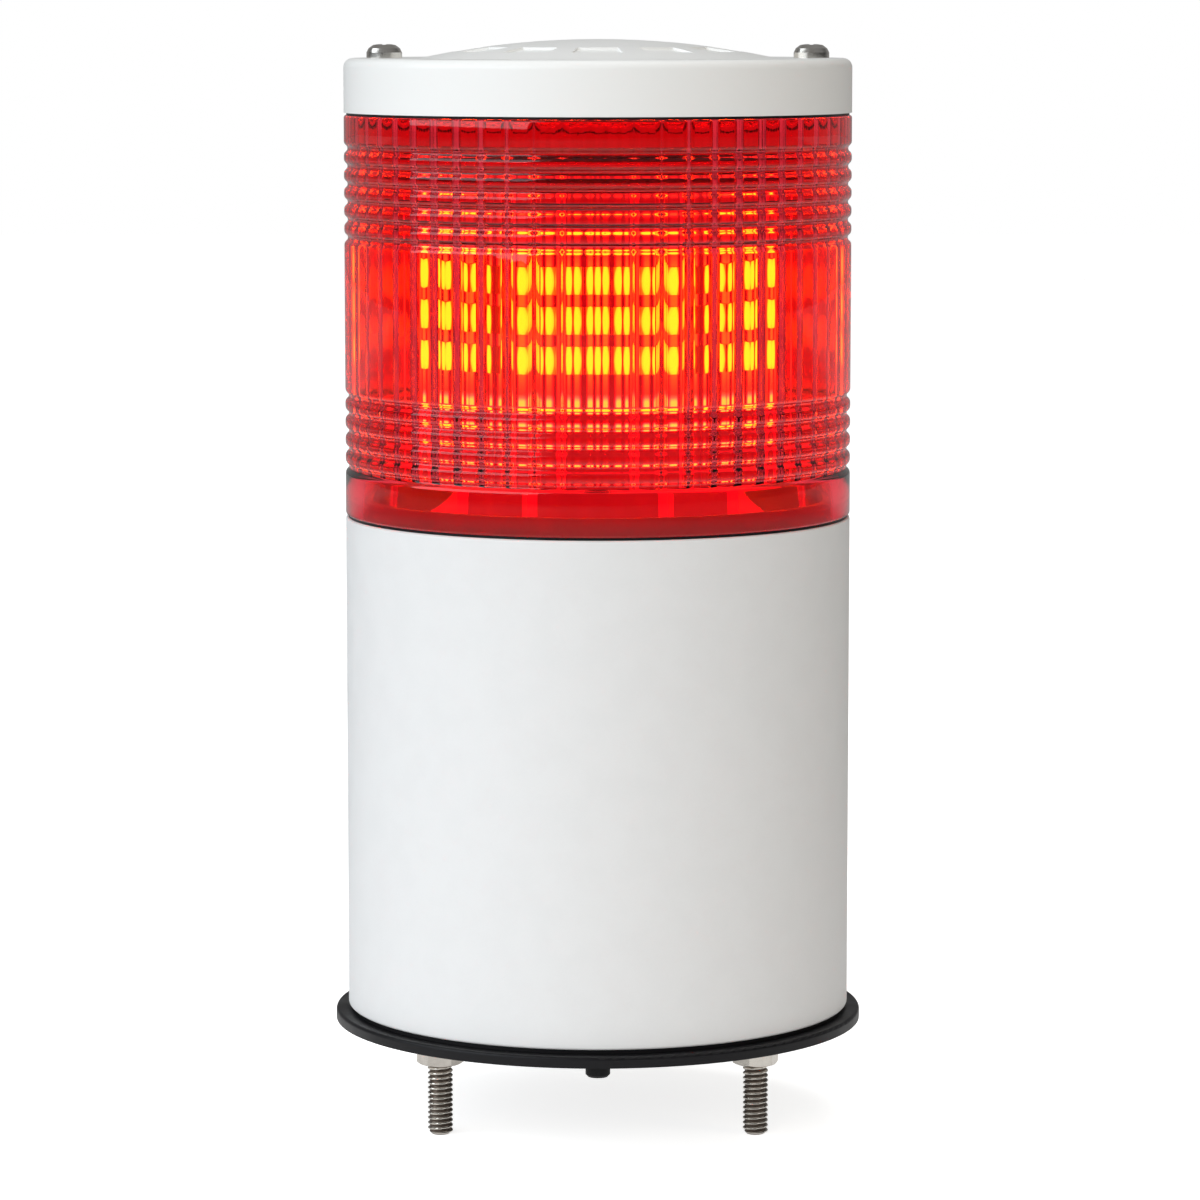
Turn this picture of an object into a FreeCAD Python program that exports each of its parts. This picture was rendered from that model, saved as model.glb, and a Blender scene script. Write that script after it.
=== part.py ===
"""Stack light with one red tier on a tall round housing, fixed by three studs.

Millimetres, +Z up. The origin is the centre of the plane through the stud tips, and the front faces -Y.
The light comes apart from the top: cap, lens, LED column, housing, base plate with its board, gasket.
"""

import FreeCAD, Part
import math
import os
import Sketcher

VECTOR = FreeCAD.Vector
SHEET_NAME = "Dimensions"

# alias, millimetres (or degrees, or a count), what it is
DIMENSIONS = [
    ("mount_plane", 20.5, "gasket underside above the stud tips"),
    ("body_radius", 50.0, "outside of housing, lens and cap"),
    ("edge_round", 0.5, "small rounding on moulded rims"),
    # gasket
    ("gasket_radius", 52.5, "outside of the rubber flange"),
    ("gasket_thick", 2.2, "rubber flange"),
    ("gasket_round", 0.6, "rounding of the flange's upper edge"),
    ("gasket_bolt_hole", 2.7, "radius of a bolt's hole in the gasket"),
    # base plate
    ("lip_radius", 49.1, "shadow lip between gasket and housing"),
    ("lip_thick", 0.8, "height of the shadow lip"),
    ("spigot_radius", 47.1, "base plate inside the housing"),
    ("plate_thick", 3.8, "base plate from gasket to floor"),
    ("stud_boss_radius", 8.0, "boss round a captive bolt head"),
    ("stud_boss_height", 2.0, "boss above the floor"),
    ("post_radius", 3.5, "board post"),
    ("post_circle", 33.0, "centres of the board posts"),
    ("board_height", 22.0, "underside of the control board above the gasket's underside"),
    ("peg_radius", 2.4, "locating peg"),
    ("peg_circle", 38.0, "centre of the peg in front of the axis"),
    ("peg_drop", 4.6, "peg tip below the gasket's underside"),
    # bush
    ("bush_hole", 10.0, "radius of the plate's centre hole"),
    ("bush_bore", 5.0, "radius of the bush's own hole"),
    ("bush_flange", 12.3, "radius of the bush's flanges"),
    ("bush_flange_thick", 1.6, "thickness of a bush flange"),
    # mounting bolts, M5
    ("stud_circle", 36.0, "centres of the three mounting bolts"),
    ("thread_radius", 2.5, "M5 major radius"),
    ("thread_core", 2.24, "M5 radius where a nut or insert grips it"),
    ("bolt_length", 25.0, "under the head"),
    ("bolt_head_across", 8.0, "across flats"),
    ("bolt_head_height", 3.5, "head"),
    ("nut_across", 8.0, "across flats"),
    ("nut_height", 4.0, "nut"),
    ("nut_turn", 13.0, "right-hand nut against the others, degrees"),
    ("washer_radius", 5.0, "plain washer"),
    ("washer_thick", 1.0, "plain washer"),
    ("spring_radius", 4.6, "spring washer"),
    ("spring_thick", 1.3, "spring washer"),
    ("spring_slit", 0.8, "gap in the spring washer"),
    ("washer_hole", 2.65, "radius of both washers' holes"),
    # housing
    ("housing_top", 100.9, "rim above the gasket's underside"),
    ("housing_wall", 2.7, "side wall"),
    ("deck_height", 96.0, "underside of the top deck above the gasket's underside"),
    ("deck_thick", 2.5, "top deck"),
    ("deck_hole", 12.0, "radius of the deck's hole for the leads"),
    ("rim_spigot_radius", 46.2, "ring that centres the lens"),
    ("rim_spigot_wall", 1.5, "ring that centres the lens"),
    ("rim_spigot_top", 104.9, "ring's top above the gasket's underside"),
    ("base_boss_radius", 4.8, "boss for a base screw"),
    ("base_boss_height", 14.0, "boss for a base screw"),
    ("base_screw_circle", 43.0, "centres of the base screws"),
    ("tie_circle", 42.0, "centres of the two tie bolts"),
    ("tie_boss_radius", 5.6, "boss under the deck for a tie bolt's insert"),
    ("tie_boss_height", 14.0, "boss under the deck for a tie bolt's insert"),
    # seals
    ("seal_thick", 0.5, "lens seal and cap seal"),
    ("seal_inset", 0.5, "seals stand back from the body's outside"),
    ("seal_width", 2.6, "seals, across the ring"),
    # lens
    ("lens_height", 78.6, "lens"),
    ("lens_bore", 46.5, "radius of the bore at the flute tips"),
    ("flute_root", 47.6, "radius of the flutes' roots"),
    ("flute_count", 56, "upright flutes round the bore"),
    ("flute_share", 0.96, "flute's share of its pitch, the rest is a flat land"),
    ("flute_foot", 8.5, "plain bore below the flutes"),
    ("ring_pitch", 3.5, "ring grooves"),
    ("ring_depth", 0.7, "ring grooves"),
    ("ring_hollow", 1.05, "radius of a ring groove's round section"),
    ("upper_rings", 6, "grooves above the plain band"),
    ("upper_ring_drop", 6.5, "first upper groove below the lens top"),
    ("lower_rings", 5, "grooves below the plain band"),
    ("lower_ring_rise", 9.5, "last lower groove above the lens foot"),
    # cap
    ("cap_side", 10.6, "height of the cap's straight side"),
    ("cap_wall", 2.5, "side and top of the cap"),
    ("cap_round", 1.8, "rounding of the cap's shoulder"),
    ("dome_radius", 35.0, "foot of the dome"),
    ("dome_rise", 3.7, "top of the dome above the ledge"),
    ("dome_slots", 12, "sunk segments round the dome"),
    ("slot_inner", 22.5, "segments, inner radius"),
    ("slot_outer", 28.5, "segments, outer radius"),
    ("slot_sweep", 20.0, "segments, degrees"),
    ("slot_floor", 1.75, "segments' floor above the ledge, at their inner edge"),
    ("cap_boss_radius", 5.0, "boss round a tie bolt in the cap"),
    ("cap_boss_drop", 7.6, "boss below the ledge"),
    # tie bolts, M4
    ("tie_shank", 2.0, "M4 radius"),
    ("tie_core", 1.78, "M4 radius in the insert"),
    ("tie_hole", 2.25, "clearance radius for M4"),
    ("pan_radius", 3.5, "pan head"),
    ("pan_height", 2.7, "pan head"),
    ("recess_width", 0.9, "cross recess"),
    ("recess_span", 4.0, "cross recess"),
    ("recess_depth", 1.5, "cross recess"),
    ("insert_radius", 2.9, "brass insert"),
    ("insert_height", 8.0, "brass insert"),
    # screws, M3
    ("m3_shank", 1.5, "M3 radius"),
    ("m3_hole", 1.65, "clearance radius for M3"),
    ("m3_head", 2.75, "M3 head radius"),
    ("m3_head_height", 1.8, "M3 head"),
    ("base_screw_length", 11.0, "under the head"),
    ("board_screw_length", 7.0, "under the head, control board and hub board"),
    ("frame_screw_length", 6.0, "under the head"),
    # LED column
    ("foot_radius", 38.0, "foot disc of the LED frame"),
    ("foot_thick", 2.0, "foot disc of the LED frame"),
    ("column_apothem", 21.8, "flat of the six-sided column"),
    ("column_bore", 16.0, "hollow of the column"),
    ("column_height", 64.0, "column above the foot disc"),
    ("rib_thick", 1.2, "ribs on the column's corners"),
    ("rib_reach", 28.0, "ribs, from the axis"),
    ("frame_screw_circle", 30.0, "centres of the frame screws"),
    ("led_board_width", 23.2, "upright board"),
    ("led_board_thick", 1.2, "upright board"),
    ("led_board_gap", 1.0, "boards stand clear of the foot disc"),
    ("led_size", 5.0, "LED package, square"),
    ("led_thick", 1.6, "LED package"),
    ("led_row_pitch", 7.2, "LED rows"),
    ("led_column_pitch", 5.9, "LED columns on one board"),
    ("led_middle", 140.8, "middle row above the gasket's underside"),
    ("hub_radius", 33.0, "hub board on the column"),
    ("board_thick", 1.6, "hub board and control board"),
    ("hub_screw_circle", 18.8, "centres of the hub screws"),
    # control board and what it carries
    ("control_radius", 38.0, "control board"),
    ("control_hole", 8.0, "cable hole in the control board"),
    ("terminal_ways", 6, "ways of the terminal block"),
    ("terminal_pitch", 5.0, "from way to way"),
    ("terminal_y", -27.0, "front face of the terminal block"),
    ("terminal_deep", 9.0, "terminal block"),
    ("terminal_tall", 11.0, "terminal block"),
    ("entry_side", 3.2, "wire entry"),
    ("well_radius", 1.7, "screw well"),
    ("well_deep", 4.0, "screw well"),
    ("transformer_y", 21.0, "middle of the transformer"),
    ("core_wide", 34.0, "transformer core"),
    ("core_deep", 12.0, "transformer core"),
    ("core_tall", 28.0, "transformer core"),
    ("leg_wide", 10.0, "middle leg of the core"),
    ("window_wide", 7.0, "core window"),
    ("window_tall", 18.0, "core window"),
    ("coil_deep", 22.0, "winding"),
    ("capacitor_x", 26.0, "capacitors, from the axis"),
    ("capacitor_spacing", 11.0, "between the capacitors"),
    ("capacitor_radius", 5.0, "capacitor"),
    ("capacitor_tall", 20.0, "capacitor"),
    ("chip_x", 22.5, "chips, from the axis"),
    ("chip_y", -15.0, "chips"),
    ("chip_wide", 10.0, "chip"),
    ("chip_deep", 6.5, "chip"),
    ("chip_tall", 2.2, "chip"),
    ("lead_radius", 0.9, "insulated lead"),
    ("lead_spacing", 2.6, "between the leads"),
    ("socket_x", 27.0, "lead socket, from the axis"),
    ("socket_side", 6.5, "lead socket and plugs"),
    ("socket_height", 7.0, "lead socket"),
    ("plug_height", 4.0, "lead plugs"),
]


class Size:
    """A number that carries the sheet formula it comes from, so that both stay together."""

    def __init__(self, value, formula=None):
        self.value = float(value)
        self.formula = formula if formula else repr(float(value))

    @staticmethod
    def of(other):
        return other if isinstance(other, Size) else Size(other)

    def joined(self, sign, other, value):
        return Size(value, f"({self.formula} {sign} {Size.of(other).formula})")

    def __add__(self, other):
        return self.joined("+", other, self.value + Size.of(other).value)

    def __sub__(self, other):
        return self.joined("-", other, self.value - Size.of(other).value)

    def __mul__(self, other):
        return self.joined("*", other, self.value * Size.of(other).value)

    def __truediv__(self, other):
        return self.joined("/", other, self.value / Size.of(other).value)

    def __neg__(self):
        return Size(-self.value, f"(-1 * {self.formula})")


def cosine(degrees):
    angle = Size.of(degrees)
    return Size(math.cos(math.radians(angle.value)), f"cos({angle.formula})")


def sine(degrees):
    angle = Size.of(degrees)
    return Size(math.sin(math.radians(angle.value)), f"sin({angle.formula})")


class Sheet:
    """The spreadsheet of driving dimensions: sheet.alias gives a Size."""

    def __init__(self, document):
        cells = document.addObject("Spreadsheet::Sheet", SHEET_NAME)
        self.known = {}
        for row, (alias, value, note) in enumerate(DIMENSIONS, start=1):
            cells.set(f"A{row}", alias)
            cells.set(f"B{row}", str(value))
            cells.set(f"C{row}", note)
            cells.setAlias(f"B{row}", alias)
            self.known[alias] = Size(value, f"{SHEET_NAME}.{alias}")
        document.recompute()

    def __getattr__(self, alias):
        return self.known[alias]

    def count(self, alias):
        return int(self.known[alias].value)


class Part3D:
    """One PartDesign body that becomes one sub-part, with short calls for its features."""

    def __init__(self, document, node, turn=0.0):
        self.document = document
        self.body = document.addObject("PartDesign::Body", node)
        self.body.Label = node
        self.body.Placement = FreeCAD.Placement(VECTOR(0, 0, 0), FreeCAD.Rotation(VECTOR(0, 0, 1), turn))

    def origin(self, role):
        """One of the body's own origin planes or axes."""
        return next(item for item in self.body.Origin.OriginFeatures if item.Role == role)

    def sketch(self, name, plane, along=0, lift=0):
        """An empty sketch on an origin plane, moved by `along` on its x axis and by `lift` on its normal."""
        made = self.body.newObject("Sketcher::SketchObject", name)
        made.AttachmentSupport = [(self.origin(plane), "")]
        made.MapMode = "FlatFace"
        bind(made, "AttachmentOffset.Base.x", along)
        bind(made, "AttachmentOffset.Base.z", lift)
        return made

    def polygon(self, sketch, points):
        """A closed outline whose corners are held by the sheet."""
        first = sketch.GeometryCount
        corners = [(Size.of(x), Size.of(y)) for x, y in points]
        places = [VECTOR(x.value, y.value, 0) for x, y in corners]
        for index, start in enumerate(places):
            end = places[(index + 1) % len(places)]
            sketch.addGeometry(Part.LineSegment(start, end), False)
        for index, (x, y) in enumerate(corners):
            line = first + index
            after = first + (index + 1) % len(corners)
            sketch.addConstraint(Sketcher.Constraint("Coincident", line, 2, after, 1))
            hold(sketch, "DistanceX", -2, line, 1, x)
            hold(sketch, "DistanceY", -1, line, 1, y)
        return sketch

    def circle(self, sketch, x, y, radius):
        line = sketch.GeometryCount
        x, y, radius = Size.of(x), Size.of(y), Size.of(radius)
        centre = VECTOR(x.value, y.value, 0)
        sketch.addGeometry(Part.Circle(centre, VECTOR(0, 0, 1), radius.value), False)
        hold(sketch, "DistanceX", -2, line, 3, x)
        hold(sketch, "DistanceY", -1, line, 3, y)
        number = sketch.addConstraint(Sketcher.Constraint("Radius", line, radius.value))
        sketch.setExpression(f"Constraints[{number}]", radius.formula)
        return sketch

    def rectangle(self, sketch, x, y, width, height):
        """A rectangle by its middle and its sides."""
        x, y = Size.of(x), Size.of(y)
        half, rise = Size.of(width) / 2, Size.of(height) / 2
        corners = [(x - half, y - rise), (x + half, y - rise), (x + half, y + rise), (x - half, y + rise)]
        return self.polygon(sketch, corners)

    def hexagon(self, sketch, x, y, across, turn=0):
        """A hexagon by its size across flats, with a flat at its front and back until it is turned."""
        reach = Size.of(across) / cosine(30) / 2
        x, y, turn = Size.of(x), Size.of(y), Size.of(turn)
        corners = [(x + reach * cosine(turn + 60 * k), y + reach * sine(turn + 60 * k)) for k in range(6)]
        return self.polygon(sketch, corners)

    def arch(self, sketch, reach, foot, rise):
        """Half the profile of a low dome: an arc from its foot up to the axis, and two closing lines."""
        foot, rise, reach = Size.of(foot), Size.of(rise), Size.of(reach)
        crown = reach * reach / rise / 2 + rise / 2
        middle = VECTOR(0, (foot + rise - crown).value, 0)
        tilt = math.asin(reach.value / crown.value)
        circle = Part.Circle(middle, VECTOR(0, 0, 1), crown.value)
        sketch.addGeometry(Part.ArcOfCircle(circle, math.pi / 2 - tilt, math.pi / 2), False)
        top = VECTOR(0, (foot + rise).value, 0)
        base, edge = VECTOR(0, foot.value, 0), VECTOR(reach.value, foot.value, 0)
        sketch.addGeometry(Part.LineSegment(top, base), False)
        sketch.addGeometry(Part.LineSegment(base, edge), False)
        for first, first_end, second, second_end in ((0, 2, 1, 1), (1, 2, 2, 1), (2, 2, 0, 1)):
            sketch.addConstraint(Sketcher.Constraint("Coincident", first, first_end, second, second_end))
        hold(sketch, "DistanceX", -2, 0, 3, Size(0))
        hold(sketch, "DistanceX", -2, 1, 2, Size(0))
        hold(sketch, "DistanceY", -1, 1, 2, foot)
        hold(sketch, "DistanceX", -2, 2, 2, reach)
        hold(sketch, "DistanceY", -1, 2, 2, foot)
        hold(sketch, "DistanceX", -2, 0, 2, Size(0))
        hold(sketch, "DistanceY", -1, 0, 2, foot + rise)
        return sketch

    def feature(self, kind, name, sketch):
        made = self.body.newObject(f"PartDesign::{kind}", name)
        made.Profile = (sketch, [""])
        sketch.Visibility = False
        return made

    def pad(self, name, sketch, length):
        made = self.feature("Pad", name, sketch)
        bind(made, "Length", length)
        return made

    def pocket(self, name, sketch, length, upward=True):
        """A pocket cut along the sketch's normal, or against it."""
        made = self.feature("Pocket", name, sketch)
        made.Reversed = upward
        bind(made, "Length", length)
        return made

    def turned(self, name, sketch):
        """A solid of revolution about the sketch's own upright axis."""
        made = self.feature("Revolution", name, sketch)
        made.ReferenceAxis = (sketch, ["V_Axis"])
        made.Angle = 360
        return made

    def groove(self, name, sketch):
        """A turned cut about the body's upright axis."""
        made = self.feature("Groove", name, sketch)
        made.ReferenceAxis = (sketch, ["V_Axis"])
        made.Angle = 360
        return made

    def round_pattern(self, name, features, count):
        made = self.body.newObject("PartDesign::PolarPattern", name)
        made.Originals = features
        made.Axis = (self.origin("Z_Axis"), [""])
        made.Angle = 360
        made.Occurrences = count
        self.body.Tip = made
        return made

    def row_pattern(self, name, features, pitch, count):
        """Copies upward, one pitch apart."""
        made = self.body.newObject("PartDesign::LinearPattern", name)
        made.Originals = features
        made.Direction = (self.origin("Z_Axis"), [""])
        bind(made, "Length", Size.of(pitch) * (count - 1))
        made.Occurrences = count
        self.body.Tip = made
        return made

    def round_edges(self, name, radius, *rings, kind="Fillet"):
        """Rounds or bevels whole circular edges, each given by its radius and height."""
        self.document.recompute()
        base = self.body.Tip
        found = []
        for ring_radius, height in rings:
            found += ring_edges(base.Shape, ring_radius.value, height.value)
        made = self.body.newObject(f"PartDesign::{kind}", name)
        made.Base = (base, found)
        bind(made, "Radius" if kind == "Fillet" else "Size", radius)
        self.body.Tip = made
        return made


def bind(item, name, size):
    """Ties a property to the sheet, or sets a plain number."""
    if isinstance(size, Size):
        item.setExpression(name, size.formula)
    elif size:
        item.setExpression(name, repr(float(size)))


def hold(sketch, kind, axis, line, point, size):
    """Holds a sketch point at a distance from an axis: on it for zero, else by a bound constraint."""
    if abs(size.value) < 1e-9:
        sketch.addConstraint(Sketcher.Constraint("PointOnObject", line, point, axis))
        return
    number = sketch.addConstraint(Sketcher.Constraint(kind, -1, 1, line, point, size.value))
    sketch.setExpression(f"Constraints[{number}]", size.formula)


def ring_edges(shape, radius, height):
    """Names of the circular edges of this radius at this height."""
    names = []
    for number, edge in enumerate(shape.Edges, start=1):
        curve = None if edge.Degenerated else edge.Curve
        if not isinstance(curve, Part.Circle):
            continue
        if abs(curve.Radius - radius) < 1e-4 and abs(curve.Center.z - height) < 1e-4:
            names.append(f"Edge{number}")
    return names


def box(document, name, low, size):
    """A Part box from its low corner, all bound to the sheet."""
    made = document.addObject("Part::Box", name)
    for prop, value in zip(("Length", "Width", "Height"), size):
        bind(made, prop, Size.of(value))
    for axis, value in zip("xyz", low):
        bind(made, f"Placement.Base.{axis}", Size.of(value))
    return made


def cylinder(document, name, foot, radius, height):
    made = document.addObject("Part::Cylinder", name)
    bind(made, "Radius", Size.of(radius))
    bind(made, "Height", Size.of(height))
    for axis, value in zip("xyz", foot):
        bind(made, f"Placement.Base.{axis}", Size.of(value))
    return made


def grouped(document, node, members):
    """Separate solids that share one node."""
    made = document.addObject("Part::Compound", node)
    made.Label = node
    made.Links = members
    return made


def cut(document, node, base, tools):
    """The base less its tools."""
    made = document.addObject("Part::Cut", node)
    made.Label = node
    made.Base = base
    made.Tool = tools[0] if len(tools) == 1 else grouped(document, f"{node}_tools", tools)
    return made


def make_gasket(document, s):
    """Rubber flange: holes for the bolts, the peg and the cable bush."""
    part = Part3D(document, "gasket")
    disc = part.sketch("gasket_outline", "XY_Plane", lift=s.mount_plane)
    part.circle(disc, 0, 0, s.gasket_radius)
    part.circle(disc, 0, 0, s.bush_flange)
    part.circle(disc, 0, -s.peg_circle, s.peg_radius)
    part.pad("flange", disc, s.gasket_thick)
    hole = part.sketch("bolt_hole_outline", "XY_Plane", lift=s.mount_plane)
    part.circle(hole, 0, s.stud_circle, s.gasket_bolt_hole)
    first = part.pocket("bolt_hole", hole, s.gasket_thick)
    part.round_pattern("bolt_holes", [first], 3)
    top = s.mount_plane + s.gasket_thick
    part.round_edges("rim_round", s.gasket_round, (s.gasket_radius, top))
    return part.body


def make_base_plate(document, s):
    """Black moulding: shadow lip, floor, bolt bosses, board posts and the locating peg."""
    part = Part3D(document, "base_plate")
    foot = s.mount_plane + s.gasket_thick
    floor = foot + s.plate_thick
    disc = part.sketch("floor_outline", "XY_Plane", lift=foot)
    part.circle(disc, 0, 0, s.spigot_radius)
    part.circle(disc, 0, 0, s.bush_hole)
    part.pad("floor", disc, s.plate_thick)
    lip = part.sketch("lip_outline", "XY_Plane", lift=foot)
    part.circle(lip, 0, 0, s.lip_radius)
    part.circle(lip, 0, 0, s.spigot_radius - 1)
    part.pad("shadow_lip", lip, s.lip_thick)
    peg = part.sketch("peg_outline", "YZ_Plane", along=-s.peg_circle)
    tip = s.mount_plane - s.peg_drop
    bevel = Size(0.5)
    part.polygon(
        peg,
        [
            (0, tip),
            (s.peg_radius - bevel, tip),
            (s.peg_radius, tip + bevel),
            (s.peg_radius, foot + 1),
            (0, foot + 1),
        ],
    )
    part.turned("locating_peg", peg)
    boss = part.sketch("boss_outline", "XY_Plane", lift=foot)
    part.circle(boss, 0, s.stud_circle, s.stud_boss_radius)
    boss_pad = part.pad("bolt_boss", boss, s.plate_thick + s.stud_boss_height)
    part.round_pattern("bolt_bosses", [boss_pad], 3)
    post = part.sketch("post_outline", "XY_Plane", lift=foot)
    part.circle(post, 0, -s.post_circle, s.post_radius)
    post_pad = part.pad("board_post", post, s.board_height - s.gasket_thick)
    part.round_pattern("board_posts", [post_pad], 3)
    pilot = part.sketch("pilot_outline", "XY_Plane", lift=s.mount_plane + s.board_height)
    part.circle(pilot, 0, -s.post_circle, s.m3_shank)
    pilot_cut = part.pocket("pilot_hole", pilot, s.board_screw_length - s.board_thick, upward=False)
    part.round_pattern("pilot_holes", [pilot_cut], 3)
    head = part.sketch("head_outline", "XY_Plane", lift=floor + s.stud_boss_height)
    part.hexagon(head, 0, s.stud_circle, s.bolt_head_across)
    head_cut = part.pocket("head_pocket", head, s.bolt_head_height, upward=False)
    part.round_pattern("head_pockets", [head_cut], 3)
    shank = part.sketch("shank_outline", "XY_Plane", lift=foot)
    part.circle(shank, 0, s.stud_circle, s.thread_core)
    shank_cut = part.pocket("shank_hole", shank, s.plate_thick)
    part.round_pattern("shank_holes", [shank_cut], 3)
    screw = part.sketch("screw_outline", "XY_Plane", lift=foot)
    part.circle(screw, s.base_screw_circle, 0, s.m3_hole)
    screw_cut = part.pocket("screw_hole", screw, s.plate_thick)
    part.round_pattern("screw_holes", [screw_cut], 3)
    sink = part.sketch("sink_outline", "XY_Plane", lift=foot)
    part.circle(sink, s.base_screw_circle, 0, s.m3_head + 0.2)
    sink_cut = part.pocket("head_sink", sink, s.m3_head_height)
    part.round_pattern("head_sinks", [sink_cut], 3)
    return part.body


def make_cable_bush(document, s):
    """Rubber bush with a groove that grips the edge of the base plate's centre hole."""
    part = Part3D(document, "cable_bush")
    foot = s.mount_plane + s.gasket_thick
    floor = foot + s.plate_thick
    profile = part.sketch("bush_profile", "XZ_Plane")
    part.polygon(
        profile,
        [
            (s.bush_bore, foot - s.bush_flange_thick),
            (s.bush_flange - 1, foot - s.bush_flange_thick),
            (s.bush_flange, foot - s.bush_flange_thick + 1),
            (s.bush_flange, foot),
            (s.bush_hole, foot),
            (s.bush_hole, floor),
            (s.bush_flange, floor),
            (s.bush_flange - 0.8, floor + s.bush_flange_thick),
            (s.bush_bore, floor + s.bush_flange_thick),
        ],
    )
    part.turned("bush_ring", profile)
    return part.body


def make_mounting_bolts(document, s):
    """Three M5 hex bolts held in the base plate, threads down."""
    part = Part3D(document, "mounting_bolts")
    seat = s.mount_plane + s.gasket_thick + s.plate_thick + s.stud_boss_height - s.bolt_head_height
    tip = seat - s.bolt_length
    grip = s.mount_plane - s.washer_thick - s.spring_thick - s.nut_height
    profile = part.sketch("shank_profile", "YZ_Plane", along=s.stud_circle)
    bevel = s.thread_radius - s.thread_core + 0.3
    part.polygon(
        profile,
        [
            (0, tip),
            (s.thread_radius - bevel, tip),
            (s.thread_radius, tip + bevel),
            (s.thread_radius, grip),
            (s.thread_core, grip),
            (s.thread_core, seat),
            (0, seat),
        ],
    )
    shank = part.turned("shank", profile)
    outline = part.sketch("head_outline", "XY_Plane", lift=seat)
    part.hexagon(outline, 0, s.stud_circle, s.bolt_head_across)
    head = part.pad("head", outline, s.bolt_head_height)
    part.round_pattern("three_bolts", [shank, head], 3)
    return part.body


def make_plain_washers(document, s):
    """Plain washers against the gasket."""
    part = Part3D(document, "plain_washers")
    ring = part.sketch("washer_outline", "XY_Plane", lift=s.mount_plane - s.washer_thick)
    part.circle(ring, 0, s.stud_circle, s.washer_radius)
    part.circle(ring, 0, s.stud_circle, s.washer_hole)
    washer = part.pad("washer", ring, s.washer_thick)
    part.round_pattern("three_washers", [washer], 3)
    return part.body


def make_spring_washers(document, s):
    """Split spring washers between plain washer and nut, pressed flat."""
    part = Part3D(document, "spring_washers")
    low = s.mount_plane - s.washer_thick - s.spring_thick
    ring = part.sketch("spring_outline", "XY_Plane", lift=low)
    part.circle(ring, 0, s.stud_circle, s.spring_radius)
    part.circle(ring, 0, s.stud_circle, s.washer_hole)
    spring = part.pad("spring", ring, s.spring_thick)
    slit = part.sketch("slit_outline", "XY_Plane", lift=low)
    reach = s.spring_radius + 1
    part.rectangle(slit, 0, s.stud_circle + reach / 2, s.spring_slit, reach)
    gap = part.pocket("slit", slit, s.spring_thick)
    part.round_pattern("three_springs", [spring, gap], 3)
    return part.body


def make_stud_nuts(document, s):
    """Hex nuts with turned bevels on both faces; the right-hand one was tightened a little further."""
    top = s.mount_plane - s.washer_thick - s.spring_thick
    low = top - s.nut_height
    flat = s.nut_across / 2
    reach = flat / cosine(30)
    bevel = (reach - flat) * 0.6
    nuts = []
    for number, turn in enumerate((0, 0, s.nut_turn), start=1):
        part = Part3D(document, f"stud_nut_{number}", turn=120.0 * (number - 1))
        outline = part.sketch("nut_outline", "XY_Plane", lift=low)
        part.hexagon(outline, 0, s.stud_circle, s.nut_across, turn)
        part.circle(outline, 0, s.stud_circle, s.thread_core)
        part.pad("nut", outline, s.nut_height)
        corner = part.sketch("bevel_profile", "YZ_Plane", along=s.stud_circle)
        out = reach + 1
        part.polygon(corner, [(flat, low - 1), (out, low - 1), (out, low + bevel * 2), (flat, low)])
        part.polygon(corner, [(flat, top), (out, top - bevel * 2), (out, top + 1), (flat, top + 1)])
        part.groove("bevels", corner)
        nuts.append(part.body)
    return grouped(document, "stud_nuts", nuts)


def make_screws(document, s, node, plane, circle, seat, length, point_up):
    """Three M3 screws, seated head down with the point up, or head up with the point down."""
    part = Part3D(document, node)
    way = 1 if point_up else -1
    profile = part.sketch("screw_profile", plane, along=circle)
    tip = seat + length * way
    head = seat - s.m3_head_height * way
    part.polygon(
        profile,
        [
            (0, head),
            (s.m3_head - 0.5, head),
            (s.m3_head, head + 0.5 * way),
            (s.m3_head, seat),
            (s.m3_shank, seat),
            (s.m3_shank, tip - 1.0 * way),
            (0.4, tip),
            (0, tip),
        ],
    )
    screw = part.turned("screw", profile)
    part.round_pattern("three_screws", [screw], 3)
    return part.body


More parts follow.
